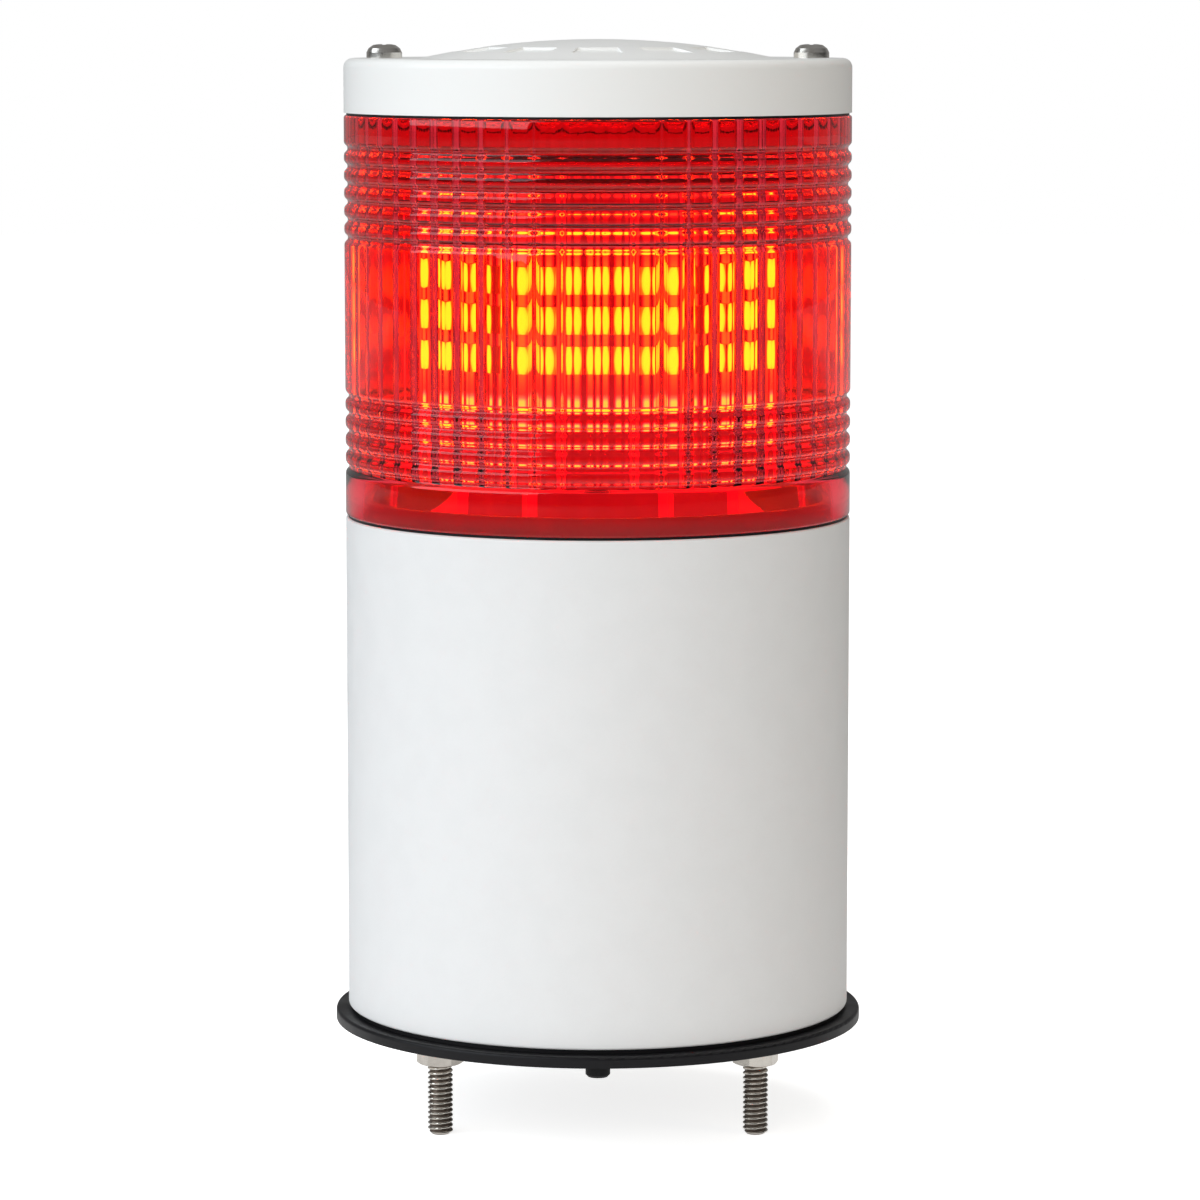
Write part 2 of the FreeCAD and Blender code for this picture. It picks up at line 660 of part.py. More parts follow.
def make_housing(document, s):
    """Tall white moulding: side wall, top deck, ring that centres the lens, bosses for both ends."""
    part = Part3D(document, "housing")
    foot = s.mount_plane + s.gasket_thick + s.lip_thick
    deck = s.mount_plane + s.deck_height
    deck_top = deck + s.deck_thick
    rim = s.mount_plane + s.housing_top
    ring_top = s.mount_plane + s.rim_spigot_top
    inner = s.body_radius - s.housing_wall
    ring_inner = s.rim_spigot_radius - s.rim_spigot_wall
    profile = part.sketch("housing_profile", "XZ_Plane")
    part.polygon(
        profile,
        [
            (inner, foot),
            (s.body_radius, foot),
            (s.body_radius, rim),
            (s.rim_spigot_radius, rim),
            (s.rim_spigot_radius, ring_top),
            (ring_inner, ring_top),
            (ring_inner, deck_top),
            (s.deck_hole, deck_top),
            (s.deck_hole, deck),
            (inner, deck),
        ],
    )
    part.turned("shell", profile)
    tie = part.sketch("tie_boss_outline", "XY_Plane", lift=deck - s.tie_boss_height)
    part.circle(tie, s.tie_circle, 0, s.tie_boss_radius)
    tie_pad = part.pad("tie_boss", tie, s.tie_boss_height)
    part.round_pattern("tie_bosses", [tie_pad], 2)
    base_foot = s.mount_plane + s.gasket_thick + s.plate_thick
    boss = part.sketch("base_boss_outline", "XY_Plane", lift=base_foot)
    part.circle(boss, s.base_screw_circle, 0, s.base_boss_radius)
    boss_pad = part.pad("base_boss", boss, s.base_boss_height)
    part.round_pattern("base_bosses", [boss_pad], 3)
    pilot = part.sketch("base_pilot_outline", "XY_Plane", lift=base_foot)
    part.circle(pilot, s.base_screw_circle, 0, s.m3_shank)
    grip = s.base_screw_length - s.plate_thick + s.m3_head_height
    pilot_cut = part.pocket("base_pilot", pilot, grip)
    part.round_pattern("base_pilots", [pilot_cut], 3)
    seat = part.sketch("insert_outline", "XY_Plane", lift=deck)
    part.circle(seat, s.tie_circle, 0, s.insert_radius)
    seat_cut = part.pocket("insert_seat", seat, s.insert_height, upward=False)
    part.round_pattern("insert_seats", [seat_cut], 2)
    hole = part.sketch("tie_hole_outline", "XY_Plane", lift=deck_top)
    part.circle(hole, s.tie_circle, 0, s.tie_hole)
    hole_cut = part.pocket("tie_hole", hole, s.deck_thick + s.tie_boss_height, upward=False)
    part.round_pattern("tie_holes", [hole_cut], 2)
    frame = part.sketch("frame_pilot_outline", "XY_Plane", lift=deck_top)
    part.circle(frame, 0, -s.frame_screw_circle, s.m3_shank)
    frame_cut = part.pocket("frame_pilot", frame, s.deck_thick, upward=False)
    part.round_pattern("frame_pilots", [frame_cut], 3)
    part.round_edges("rims", s.edge_round, (s.body_radius, rim), (s.body_radius, foot))
    return part.body


def make_seal(document, s, node, low):
    """Flat rubber ring between two of the round mouldings."""
    part = Part3D(document, node)
    ring = part.sketch("seal_outline", "XY_Plane", lift=low)
    outer = s.body_radius - s.seal_inset
    part.circle(ring, 0, 0, outer)
    part.circle(ring, 0, 0, outer - s.seal_width)
    part.pad("ring", ring, s.seal_thick)
    return part.body


def make_lens(document, s):
    """Clear red moulding: round ring grooves outside, upright wave-shaped flutes inside, plain foot."""
    part = Part3D(document, "lens")
    foot = s.mount_plane + s.housing_top + s.seal_thick
    top = foot + s.lens_height
    profile = part.sketch("lens_profile", "XZ_Plane")
    part.polygon(
        profile,
        [(s.lens_bore, foot), (s.body_radius, foot), (s.body_radius, top), (s.lens_bore, top)],
    )
    part.turned("tube", profile)
    lower, upper = s.count("lower_rings"), s.count("upper_rings")
    for name, low, count in (
        ("lower", foot + s.lower_ring_rise, lower),
        ("upper", top - s.upper_ring_drop - s.ring_pitch * (upper - 1), upper),
    ):
        section = part.sketch(f"{name}_ring_section", "XZ_Plane")
        part.circle(section, s.body_radius - s.ring_depth + s.ring_hollow, low, s.ring_hollow)
        ring = part.groove(f"{name}_ring", section)
        part.row_pattern(f"{name}_rings", [ring], s.ring_pitch, count)
    flute = part.sketch("flute_outline", "XY_Plane", lift=foot + s.flute_foot)
    half = Size(180) / s.flute_count * s.flute_share
    rise = s.flute_root - s.lens_bore
    back = s.lens_bore * cosine(half) - 0.5
    wave = [(back, -s.lens_bore * sine(half)), (back, s.lens_bore * sine(half))]
    for share in (1, 0.75, 0.25, 0, -0.25, -0.75, -1):
        reach = s.lens_bore + rise * (1 + math.cos(math.pi * share)) / 2
        wave.append((reach * cosine(half * share), reach * sine(half * share)))
    part.polygon(flute, wave)
    cut_one = part.pocket("flute", flute, s.lens_height - s.flute_foot)
    part.round_pattern("flutes", [cut_one], s.count("flute_count"))
    part.round_edges("rims", s.edge_round, (s.body_radius, top), (s.body_radius, foot))
    return part.body


def make_top_cap(document, s):
    """White moulded cap: straight side, ledge for the tie bolts, low dome with sunk segments."""
    part = Part3D(document, "top_cap")
    foot = s.mount_plane + s.housing_top + s.seal_thick * 2 + s.lens_height
    ledge = foot + s.cap_side
    under = ledge - s.cap_wall
    inner = s.body_radius - s.cap_wall
    profile = part.sketch("cap_profile", "XZ_Plane")
    part.polygon(
        profile,
        [
            (inner, foot),
            (s.body_radius, foot),
            (s.body_radius, ledge),
            (0, ledge),
            (0, under),
            (inner, under),
        ],
    )
    part.turned("shell", profile)
    arch = part.sketch("dome_profile", "XZ_Plane")
    part.arch(arch, s.dome_radius, ledge, s.dome_rise)
    part.turned("dome", arch)
    hollow = part.sketch("hollow_profile", "XZ_Plane")
    hollow_top = under + s.dome_rise * 0.85
    part.polygon(
        hollow,
        [
            (0, under - 1),
            (s.dome_radius - 4, under - 1),
            (s.dome_radius - 4, under),
            (12, hollow_top),
            (0, hollow_top),
        ],
    )
    part.groove("hollow", hollow)
    boss = part.sketch("boss_outline", "XY_Plane", lift=ledge - s.cap_boss_drop)
    part.circle(boss, s.tie_circle, 0, s.cap_boss_radius)
    boss_pad = part.pad("tie_boss", boss, s.cap_boss_drop - s.cap_wall)
    part.round_pattern("tie_bosses", [boss_pad], 2)
    hole = part.sketch("hole_outline", "XY_Plane", lift=ledge)
    part.circle(hole, s.tie_circle, 0, s.tie_hole)
    hole_cut = part.pocket("tie_hole", hole, s.cap_boss_drop, upward=False)
    part.round_pattern("tie_holes", [hole_cut], 2)
    slope = (s.slot_outer - s.slot_inner) * (s.slot_outer + s.slot_inner) * s.dome_rise
    drop = slope / s.dome_radius / s.dome_radius
    segment = part.sketch("segment_section", "XZ_Plane")
    part.polygon(
        segment,
        [
            (s.slot_inner, ledge + s.slot_floor),
            (s.slot_outer, ledge + s.slot_floor - drop),
            (s.slot_outer, ledge + s.dome_rise),
            (s.slot_inner, ledge + s.dome_rise),
        ],
    )
    cut_one = part.groove("segment", segment)
    cut_one.Midplane = True
    bind(cut_one, "Angle", s.slot_sweep)
    part.round_pattern("segments", [cut_one], s.count("dome_slots"))
    part.round_edges("shoulder", s.cap_round, (s.body_radius, ledge))
    return part.body


def make_tie_bolts(document, s):
    """Two long M4 pan-head bolts that pull cap and lens down on the housing."""
    part = Part3D(document, "tie_bolts")
    seat = s.mount_plane + s.housing_top + s.seal_thick * 2 + s.lens_height + s.cap_side
    deck = s.mount_plane + s.deck_height
    tip = deck - s.insert_height
    crown = seat + s.pan_height
    profile = part.sketch("bolt_profile", "XZ_Plane", along=s.tie_circle)
    part.polygon(
        profile,
        [
            (0, tip),
            (s.tie_core - 0.5, tip),
            (s.tie_core, tip + 0.5),
            (s.tie_core, deck),
            (s.tie_shank, deck),
            (s.tie_shank, seat),
            (s.pan_radius, seat),
            (s.pan_radius, seat + s.pan_height * 0.4),
            (s.pan_radius - 0.4, seat + s.pan_height * 0.7),
            (s.pan_radius - 1.3, crown - 0.15),
            (s.pan_radius - 2.2, crown),
            (0, crown),
        ],
    )
    bolt = part.turned("bolt", profile)
    cross = part.sketch("recess_outline", "XY_Plane", lift=crown)
    near, far = s.recess_width / 2, s.recess_span / 2
    corners = [
        (far, near), (near, near), (near, far), (-near, far), (-near, near), (-far, near),
        (-far, -near), (-near, -near), (-near, -far), (near, -far), (near, -near), (far, -near),
    ]
    part.polygon(cross, [(s.tie_circle + x, y) for x, y in corners])
    recess = part.pocket("recess", cross, s.recess_depth, upward=False)
    part.round_pattern("two_bolts", [bolt, recess], 2)
    return part.body


def make_tie_inserts(document, s):
    """Brass inserts in the housing's bosses, waisted so that the moulding grips them."""
    part = Part3D(document, "tie_inserts")
    top = s.mount_plane + s.deck_height
    foot = top - s.insert_height
    profile = part.sketch("insert_profile", "XZ_Plane", along=s.tie_circle)
    part.polygon(
        profile,
        [
            (s.tie_core, foot),
            (s.insert_radius, foot),
            (s.insert_radius, foot + s.insert_height * 0.4),
            (s.insert_radius - 0.4, foot + s.insert_height * 0.4),
            (s.insert_radius - 0.4, foot + s.insert_height * 0.6),
            (s.insert_radius, foot + s.insert_height * 0.6),
            (s.insert_radius, top),
            (s.tie_core, top),
        ],
    )
    insert = part.turned("insert", profile)
    part.round_pattern("two_inserts", [insert], 2)
    return part.body


def make_led_frame(document, s):
    """White moulding on the deck: foot disc, hollow six-sided column and the ribs between its boards."""
    part = Part3D(document, "led_frame")
    foot = s.mount_plane + s.deck_height + s.deck_thick
    floor = foot + s.foot_thick
    top = floor + s.column_height
    disc = part.sketch("foot_outline", "XY_Plane", lift=foot)
    part.circle(disc, 0, 0, s.foot_radius)
    part.circle(disc, 0, 0, s.column_bore)
    part.pad("foot_disc", disc, s.foot_thick)
    column = part.sketch("column_outline", "XY_Plane", lift=foot)
    part.hexagon(column, 0, 0, s.column_apothem * 2)
    part.circle(column, 0, 0, s.column_bore)
    part.pad("column", column, s.foot_thick + s.column_height)
    rib = part.sketch("rib_outline", "XY_Plane", lift=foot)
    inner = s.column_apothem + 1
    part.rectangle(rib, (inner + s.rib_reach) / 2, 0, s.rib_reach - inner, s.rib_thick)
    rib_pad = part.pad("rib", rib, s.foot_thick + s.column_height)
    part.round_pattern("ribs", [rib_pad], 6)
    screw = part.sketch("frame_screw_outline", "XY_Plane", lift=foot)
    part.circle(screw, 0, -s.frame_screw_circle, s.m3_hole)
    screw_cut = part.pocket("frame_screw_hole", screw, s.foot_thick)
    part.round_pattern("frame_screw_holes", [screw_cut], 3)
    pilot = part.sketch("hub_pilot_outline", "XY_Plane", lift=top)
    part.circle(pilot, 0, -s.hub_screw_circle, s.m3_shank)
    pilot_cut = part.pocket("hub_pilot", pilot, s.board_screw_length - s.board_thick, upward=False)
    part.round_pattern("hub_pilots", [pilot_cut], 3)
    return part.body


def make_led_board(document, s, number):
    """One upright board on a flat of the column."""
    part = Part3D(document, f"led_board_{number}", turn=60.0 * (number - 1))
    foot = s.mount_plane + s.deck_height + s.deck_thick + s.foot_thick
    height = s.column_height - s.led_board_gap
    middle = foot + s.led_board_gap + height / 2
    outline = part.sketch("board_outline", "XZ_Plane", lift=s.column_apothem)
    part.rectangle(outline, 0, middle, s.led_board_width, height)
    part.pad("board", outline, s.led_board_thick)
    return part.body


def make_led_row(document, s, number):
    """The LED packages soldered on one board: three rows of four."""
    part = Part3D(document, f"leds_{number}", turn=60.0 * (number - 1))
    outline = part.sketch("led_outline", "XZ_Plane", lift=s.column_apothem + s.led_board_thick)
    middle = s.mount_plane + s.led_middle
    for row in (-1, 0, 1):
        for side in (-1.5, -0.5, 0.5, 1.5):
            across, up = s.led_column_pitch * side, middle + s.led_row_pitch * row
            part.rectangle(outline, across, up, s.led_size, s.led_size)
    part.pad("packages", outline, s.led_thick)
    return part.body


def make_hub_board(document, s):
    """Dark round board that closes the top of the column and feeds the upright boards."""
    top = s.mount_plane + s.deck_height + s.deck_thick + s.foot_thick + s.column_height
    disc = cylinder(document, "hub_disc", (0, 0, top), s.hub_radius, s.board_thick)
    holes = []
    for number, angle in enumerate((270, 30, 150), start=1):
        x, y = s.hub_screw_circle * cosine(angle), s.hub_screw_circle * sine(angle)
        holes.append(cylinder(document, f"hub_hole_{number}", (x, y, top), s.m3_hole, s.board_thick))
    return cut(document, "hub_board", disc, holes)


def make_control_board(document, s):
    """Round board on the base plate's posts, open in the middle for the cable."""
    low = s.mount_plane + s.board_height
    disc = cylinder(document, "control_disc", (0, 0, low), s.control_radius, s.board_thick)
    holes = [cylinder(document, "control_hole", (0, 0, low), s.control_hole, s.board_thick)]
    for number, angle in enumerate((270, 30, 150), start=1):
        x, y = s.post_circle * cosine(angle), s.post_circle * sine(angle)
        holes.append(cylinder(document, f"post_hole_{number}", (x, y, low), s.m3_hole, s.board_thick))
    return cut(document, "control_board", disc, holes)


def terminal_places(s):
    """Middle of each way of the terminal block, along X."""
    ways = s.count("terminal_ways")
    return [s.terminal_pitch * (way - (ways - 1) / 2) for way in range(ways)]


def make_terminal_block(document, s):
    """Moulded block with a wire entry at the front and a screw well above each way."""
    low = s.mount_plane + s.board_height + s.board_thick
    length = s.terminal_pitch * s.count("terminal_ways") + 0.6
    back = s.terminal_y
    size = (length, s.terminal_deep, s.terminal_tall)
    block = box(document, "terminal_body", (-length / 2, back, low), size)
    tools = []
    middle = back + s.terminal_deep / 2
    for number, x in enumerate(terminal_places(s), start=1):
        half = s.entry_side / 2
        entry = (s.entry_side, s.terminal_deep / 2, s.entry_side)
        tools.append(box(document, f"entry_{number}", (x - half, back, low + 2), entry))
        well = (x, middle, low + s.terminal_tall - s.well_deep)
        tools.append(cylinder(document, f"well_{number}", well, s.well_radius, s.well_deep))
    return cut(document, "terminal_block", block, tools)


def make_terminal_screws(document, s):
    """One clamp screw at the bottom of each well."""
    low = s.mount_plane + s.board_height + s.board_thick
    floor = low + s.terminal_tall - s.well_deep
    y = s.terminal_y + s.terminal_deep / 2
    screws = []
    for number, x in enumerate(terminal_places(s), start=1):
        foot = (x, y, floor)
        screws.append(cylinder(document, f"clamp_{number}", foot, s.well_radius - 0.2, s.well_deep - 1))
    return grouped(document, "terminal_screws", screws)


def make_transformer_core(document, s):
    """Laminated core with two windows round its middle leg."""
    low = s.mount_plane + s.board_height + s.board_thick
    front = s.transformer_y - s.core_deep / 2
    size = (s.core_wide, s.core_deep, s.core_tall)
    body = box(document, "core_block", (-s.core_wide / 2, front, low), size)
    window = (s.window_wide, s.core_deep, s.window_tall)
    foot = low + (s.core_tall - s.window_tall) / 2
    left = box(document, "window_left", (-s.leg_wide / 2 - s.window_wide, front, foot), window)
    right = box(document, "window_right", (s.leg_wide / 2, front, foot), window)
    return cut(document, "transformer_core", body, [left, right])


def make_transformer_coil(document, s):
    """Taped winding round the core's middle leg."""
    low = s.mount_plane + s.board_height + s.board_thick + (s.core_tall - s.window_tall) / 2
    wide = s.leg_wide + s.window_wide * 2
    front = s.transformer_y - s.coil_deep / 2
    body = box(document, "winding", (-wide / 2, front, low), (wide, s.coil_deep, s.window_tall))
    leg_front = s.transformer_y - s.core_deep / 2
    size = (s.leg_wide, s.core_deep, s.window_tall)
    leg = box(document, "leg_space", (-s.leg_wide / 2, leg_front, low), size)
    return cut(document, "transformer_coil", body, [leg])


def make_capacitors(document, s):
    """Two upright smoothing capacitors."""
    low = s.mount_plane + s.board_height + s.board_thick
    cans = []
    for number, side in enumerate((-1, 1), start=1):
        foot = (-s.capacitor_x, s.capacitor_spacing / 2 * side, low)
        cans.append(cylinder(document, f"can_{number}", foot, s.capacitor_radius, s.capacitor_tall))
    return grouped(document, "capacitors", cans)


def make_logic_chips(document, s):
    """Two flat chips either side of the terminal block."""
    low = s.mount_plane + s.board_height + s.board_thick
    chips = []
    for number, side in enumerate((-1, 1), start=1):
        corner = (s.chip_x * side - s.chip_wide / 2, s.chip_y - s.chip_deep / 2, low)
        chips.append(box(document, f"chip_{number}", corner, (s.chip_wide, s.chip_deep, s.chip_tall)))
    return grouped(document, "logic_chips", chips)


def lead_ends(s):
    """Heights where the leads leave the lower plug and enter the upper one."""
    low = s.mount_plane + s.board_height + s.board_thick + s.socket_height + s.plug_height
    hub = s.mount_plane + s.deck_height + s.deck_thick + s.foot_thick + s.column_height
    return low, hub - s.socket_height - s.plug_height


def make_lead_sockets(document, s):
    """Pin sockets on the control board and under the hub board."""
    low, high = lead_ends(s)
    half = s.socket_side / 2
    size = (s.socket_side, s.socket_side, s.socket_height)
    foot = low - s.plug_height - s.socket_height
    lower = box(document, "lower_socket", (s.socket_x - half, -half, foot), size)
    upper = box(document, "upper_socket", (-half, -half, high + s.plug_height), size)
    return grouped(document, "lead_sockets", [lower, upper])


def make_lead_plugs(document, s):
    """Plugs on both ends of the leads."""
    low, high = lead_ends(s)
    half = s.socket_side / 2
    size = (s.socket_side, s.socket_side, s.plug_height)
    lower = box(document, "lower_plug", (s.socket_x - half, -half, low - s.plug_height), size)
    upper = box(document, "upper_plug", (-half, -half, high), size)
    return grouped(document, "lead_plugs", [lower, upper])


def bent_wire(points, share=0.45):
    """Straight runs joined by tangent arcs, as large as the runs beside them allow."""
    edges = []
    radii = []
    start = points[0]
    for before, corner, after in zip(points, points[1:], points[2:]):
        back, ahead = (before - corner), (after - corner)
        turn = math.pi - back.getAngle(ahead)
        reach = share * min(back.Length, ahead.Length)
        radii.append(reach / math.tan(turn / 2))
        arc_start = corner + VECTOR(back).normalize() * reach
        arc_end = corner + VECTOR(ahead).normalize() * reach
        inward = (VECTOR(back).normalize() + VECTOR(ahead).normalize()).normalize()
        centre = corner + inward * (reach / math.sin(turn / 2))
        arc_middle = centre - inward * radii[-1]
        edges.append(Part.makeLine(start, arc_start))
        edges.append(Part.Arc(arc_start, arc_middle, arc_end).toShape())
        start = arc_end
    edges.append(Part.makeLine(start, points[-1]))
    return Part.Wire(edges), radii


def make_leads(document, s):
    """Two insulated leads, up from the control board and through the hollow column."""
    low, high = (height.value for height in lead_ends(s))
    out = s.socket_x.value
    route = [
        (out, low),
        (out, low + 18),
        (out * 0.15, low + 46),
        (out * 0.1, low + 86),
        (0, high - 14),
        (0, high),
    ]
    tubes = []
    for side in (-0.5, 0.5):
        y = s.lead_spacing.value * side
        wire, radii = bent_wire([VECTOR(x, y, z) for x, z in route])
        mouth = Part.Wire(Part.makeCircle(s.lead_radius.value, VECTOR(out, y, low), VECTOR(0, 0, 1)))
        tube = wire.makePipeShell([mouth], True, False)
        print("lead radii", [round(radius, 1) for radius in radii], "length", round(wire.Length, 1))
        tubes.append(tube)
    made = document.addObject("Part::Feature", "led_leads")
    made.Label = "led_leads"
    made.Shape = Part.makeCompound(tubes)
    return made


def document_nodes(document, s):
    """Every sub-part, in the order of assembly from the ground up."""
    plate = s.mount_plane + s.gasket_thick
    board_top = s.mount_plane + s.board_height + s.board_thick
    foot_top = s.mount_plane + s.deck_height + s.deck_thick + s.foot_thick
    hub_top = foot_top + s.column_height + s.board_thick
    lens_foot = s.mount_plane + s.housing_top + s.seal_thick
    nodes = [
        make_gasket(document, s),
        make_base_plate(document, s),
        make_cable_bush(document, s),
        make_mounting_bolts(document, s),
        make_plain_washers(document, s),
        make_spring_washers(document, s),
        make_stud_nuts(document, s),
        make_control_board(document, s),
        make_terminal_block(document, s),
        make_terminal_screws(document, s),
        make_transformer_core(document, s),
        make_transformer_coil(document, s),
        make_capacitors(document, s),
        make_logic_chips(document, s),
        make_lead_sockets(document, s),
        make_lead_plugs(document, s),
        make_leads(document, s),
        make_housing(document, s),
        make_tie_inserts(document, s),
        make_led_frame(document, s),
        make_hub_board(document, s),
        make_seal(document, s, "lens_seal", s.mount_plane + s.housing_top),
        make_lens(document, s),
        make_seal(document, s, "cap_seal", lens_foot + s.lens_height),
        make_top_cap(document, s),
        make_tie_bolts(document, s),
    ]
    for number in range(1, 7):
        nodes.append(make_led_board(document, s, number))
        nodes.append(make_led_row(document, s, number))
    screw_sets = [
        ("base_screws", "XZ_Plane", s.base_screw_circle, plate + s.m3_head_height, s.base_screw_length, True),
        ("board_screws", "YZ_Plane", -s.post_circle, board_top, s.board_screw_length, False),
        ("frame_screws", "YZ_Plane", -s.frame_screw_circle, foot_top, s.frame_screw_length, False),
        ("hub_screws", "YZ_Plane", -s.hub_screw_circle, hub_top, s.board_screw_length, False),
    ]
    for row in screw_sets:
        nodes.append(make_screws(document, s, *row))
    return nodes


def check(document):
    """Stops if any object failed or any shape is empty or invalid."""
    for item in document.Objects:
        if "Invalid" in item.State or "Error" in item.State:
            raise RuntimeError(f"{item.Label}: {item.State}")


def write(nodes):
    os.makedirs("parts", exist_ok=True)
    for node in nodes:
        shape = node.Shape
        if shape.isNull() or not shape.isValid():
            raise RuntimeError(f"{node.Label} has no valid shape")
        shape.exportStep(f"parts/{node.Label}.step")
        solids = len(shape.Solids)
        low_high = shape.optimalBoundingBox()
        print(f"{node.Label}: {solids} solid(s), {shape.Volume:.1f} mm3, {low_high}")


def main():
    document = FreeCAD.newDocument("StackLight")
    sheet = Sheet(document)
    nodes = document_nodes(document, sheet)
    document.recompute()
    check(document)
    write(nodes)


main()
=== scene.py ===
"""Stack light with one red tier, dressed for looking at.

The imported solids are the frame, in metres with +Z up, the front facing -Y and the stud tips on z = 0.
The red lens and the threaded studs are made here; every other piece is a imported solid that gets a
finish of its own.
"""

import logging
import math
from dataclasses import dataclass
from enum import Enum

import bpy
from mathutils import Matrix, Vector


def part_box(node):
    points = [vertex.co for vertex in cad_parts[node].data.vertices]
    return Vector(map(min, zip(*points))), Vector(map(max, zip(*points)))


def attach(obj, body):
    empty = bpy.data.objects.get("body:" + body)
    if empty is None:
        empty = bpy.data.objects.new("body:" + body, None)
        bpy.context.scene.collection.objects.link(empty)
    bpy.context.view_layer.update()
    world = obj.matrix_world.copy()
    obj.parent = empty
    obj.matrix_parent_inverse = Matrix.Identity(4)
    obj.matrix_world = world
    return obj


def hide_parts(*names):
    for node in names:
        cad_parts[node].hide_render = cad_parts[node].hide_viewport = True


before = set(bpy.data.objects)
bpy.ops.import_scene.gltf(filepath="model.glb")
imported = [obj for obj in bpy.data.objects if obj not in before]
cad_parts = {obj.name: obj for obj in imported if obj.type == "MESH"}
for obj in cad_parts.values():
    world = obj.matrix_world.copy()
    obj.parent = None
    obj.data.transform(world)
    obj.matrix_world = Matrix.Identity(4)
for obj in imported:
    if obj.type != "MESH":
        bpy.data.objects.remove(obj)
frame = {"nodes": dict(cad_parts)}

log = logging.getLogger("stack_light")
MM = 0.001
BODY = "root"
WELD = 1e-6
SHARP = math.radians(24)
WHITE = (1.0, 1.0, 1.0)

Triple = tuple[float, float, float]
Span = tuple[float, float]
Socket = bpy.types.NodeSocket
Node = bpy.types.Node
Tree = bpy.types.NodeTree
Sockets = bpy.types.bpy_prop_collection


class TreeKind(Enum):
    """What a node group makes."""

    EFFECT = "ShaderNodeTree"
    SHAPE = "GeometryNodeTree"


class Channel(Enum):
    """What an input or output of a node group holds."""

    VALUE = "NodeSocketFloat"
    VECTOR = "NodeSocketVector"
    GEOMETRY = "NodeSocketGeometry"
    MATERIAL = "NodeSocketMaterial"
    COUNT = "NodeSocketInt"


# ---- node helpers


class Wiring:
    """Adds nodes to one tree and joins them."""

    def __init__(self, tree: Tree) -> None:
        """Args:
            tree: the tree that the nodes go into.
        """
        self.tree = tree

    def node(self, kind: str, feeds: dict[str, object] | None = None, **settings: object) -> Node:
        """Adds one node.

        Args:
            kind: the node's Blender type.
            feeds: what goes into its inputs, by their names.
            settings: properties set on the node.
        Returns:
            The new node.
        """
        made = self.tree.nodes.new(kind)
        for name, value in settings.items():
            setattr(made, name, value)
        for label, value in (feeds or {}).items():
            self.feed(made.inputs[label], value)
        return made

    def feed(self, socket: Socket, value: object) -> None:
        """Joins a socket to an output, or sets its own value.

        Args:
            socket: the input socket.
            value: an output socket, a number, a colour or a vector.
        """
        if isinstance(value, Socket):
            self.tree.links.new(value, socket)
        elif value is not None:
            socket.default_value = value

    def math(self, operation: str, *values: object) -> Socket:
        """One arithmetic step on numbers.

        Args:
            operation: the Math node's operation.
            values: numbers or sockets, as many as the operation takes.
        Returns:
            The result's socket.
        """
        made = self.node("ShaderNodeMath", operation=operation)
        for socket, value in zip(made.inputs, values):
            self.feed(socket, value)
        return made.outputs[0]

    def plus(self, first: object, second: object) -> Socket:
        """The sum of two numbers or sockets."""
        return self.math("ADD", first, second)

    def minus(self, first: object, second: object) -> Socket:
        """The first number or socket less the second."""
        return self.math("SUBTRACT", first, second)

    def times(self, first: object, second: object) -> Socket:
        """The product of two numbers or sockets."""
        return self.math("MULTIPLY", first, second)

    def over(self, first: object, second: object) -> Socket:
        """The first number or socket divided by the second."""
        return self.math("DIVIDE", first, second)

    def vector(self, operation: str, *values: object) -> Node:
        """One arithmetic step on vectors.

        Args:
            operation: the Vector Math node's operation.
            values: vectors or sockets, as many as the operation takes.
        Returns:
            The node, whose first output is a vector and second a number.
        """
        made = self.node("ShaderNodeVectorMath", operation=operation)
        for socket, value in zip(made.inputs, values):
            self.feed(socket, value)
        return made

    def split(self, place: object) -> Sockets:
        """The X, Y and Z outputs of a vector."""
        return self.node("ShaderNodeSeparateXYZ", {"Vector": place}).outputs

    def noise(self, place: object, scale: object, detail: float, roughness: float = 0.5) -> Socket:
        """A noise field.

        Args:
            place: where it is read.
            scale: features per unit.
            detail: how many finer layers it has.
            roughness: how strong the finer layers are.
        Returns:
            The field's socket, from 0 to 1.
        """
        feeds = {"Vector": place, "Scale": scale, "Detail": detail, "Roughness": roughness}
        return self.node("ShaderNodeTexNoise", feeds).outputs["Fac"]

    def ease(self, value: object, span: Span, top: float = 1.0) -> Socket:
        """Rises smoothly from 0 to top.

        Args:
            value: number or socket.
            span: where it leaves 0 and where it reaches top; the first may be the larger.
            top: what it rises to.
        Returns:
            The result's socket.
        """
        feeds = {"Value": value, "From Min": span[0], "From Max": span[1], "To Max": top}
        return self.node("ShaderNodeMapRange", feeds, interpolation_type="SMOOTHSTEP").outputs["Result"]

    def blend(self, factor: object, low: object, high: object) -> Socket:
        """Mixes two colours.

        Args:
            factor: 0 gives low and 1 gives high.
            low: colour or socket.
            high: colour or socket.
        Returns:
            The mixed colour's socket.
        """
        feeds = {"Factor": factor, "A": rgba(low), "B": rgba(high)}
        return self.node("ShaderNodeMix", feeds, data_type="RGBA").outputs["Result"]

    def remap(self, value: object, low: float, high: float) -> Socket:
        """Spreads 0 to 1 over low to high.

        Args:
            value: number or socket from 0 to 1.
            low: result at 0.
            high: result at 1.
        Returns:
            The result's socket.
        """
        return self.math("MULTIPLY_ADD", value, high - low, low)


def rgba(colour: object) -> object:
    """A colour with its alpha; sockets pass unchanged."""
    return (*colour, 1.0) if isinstance(colour, tuple) and len(colour) == 3 else colour


def dim(colour: Triple, share: float) -> Triple:
    """The colour at a share of its brightness."""
    return tuple(part * share for part in colour)


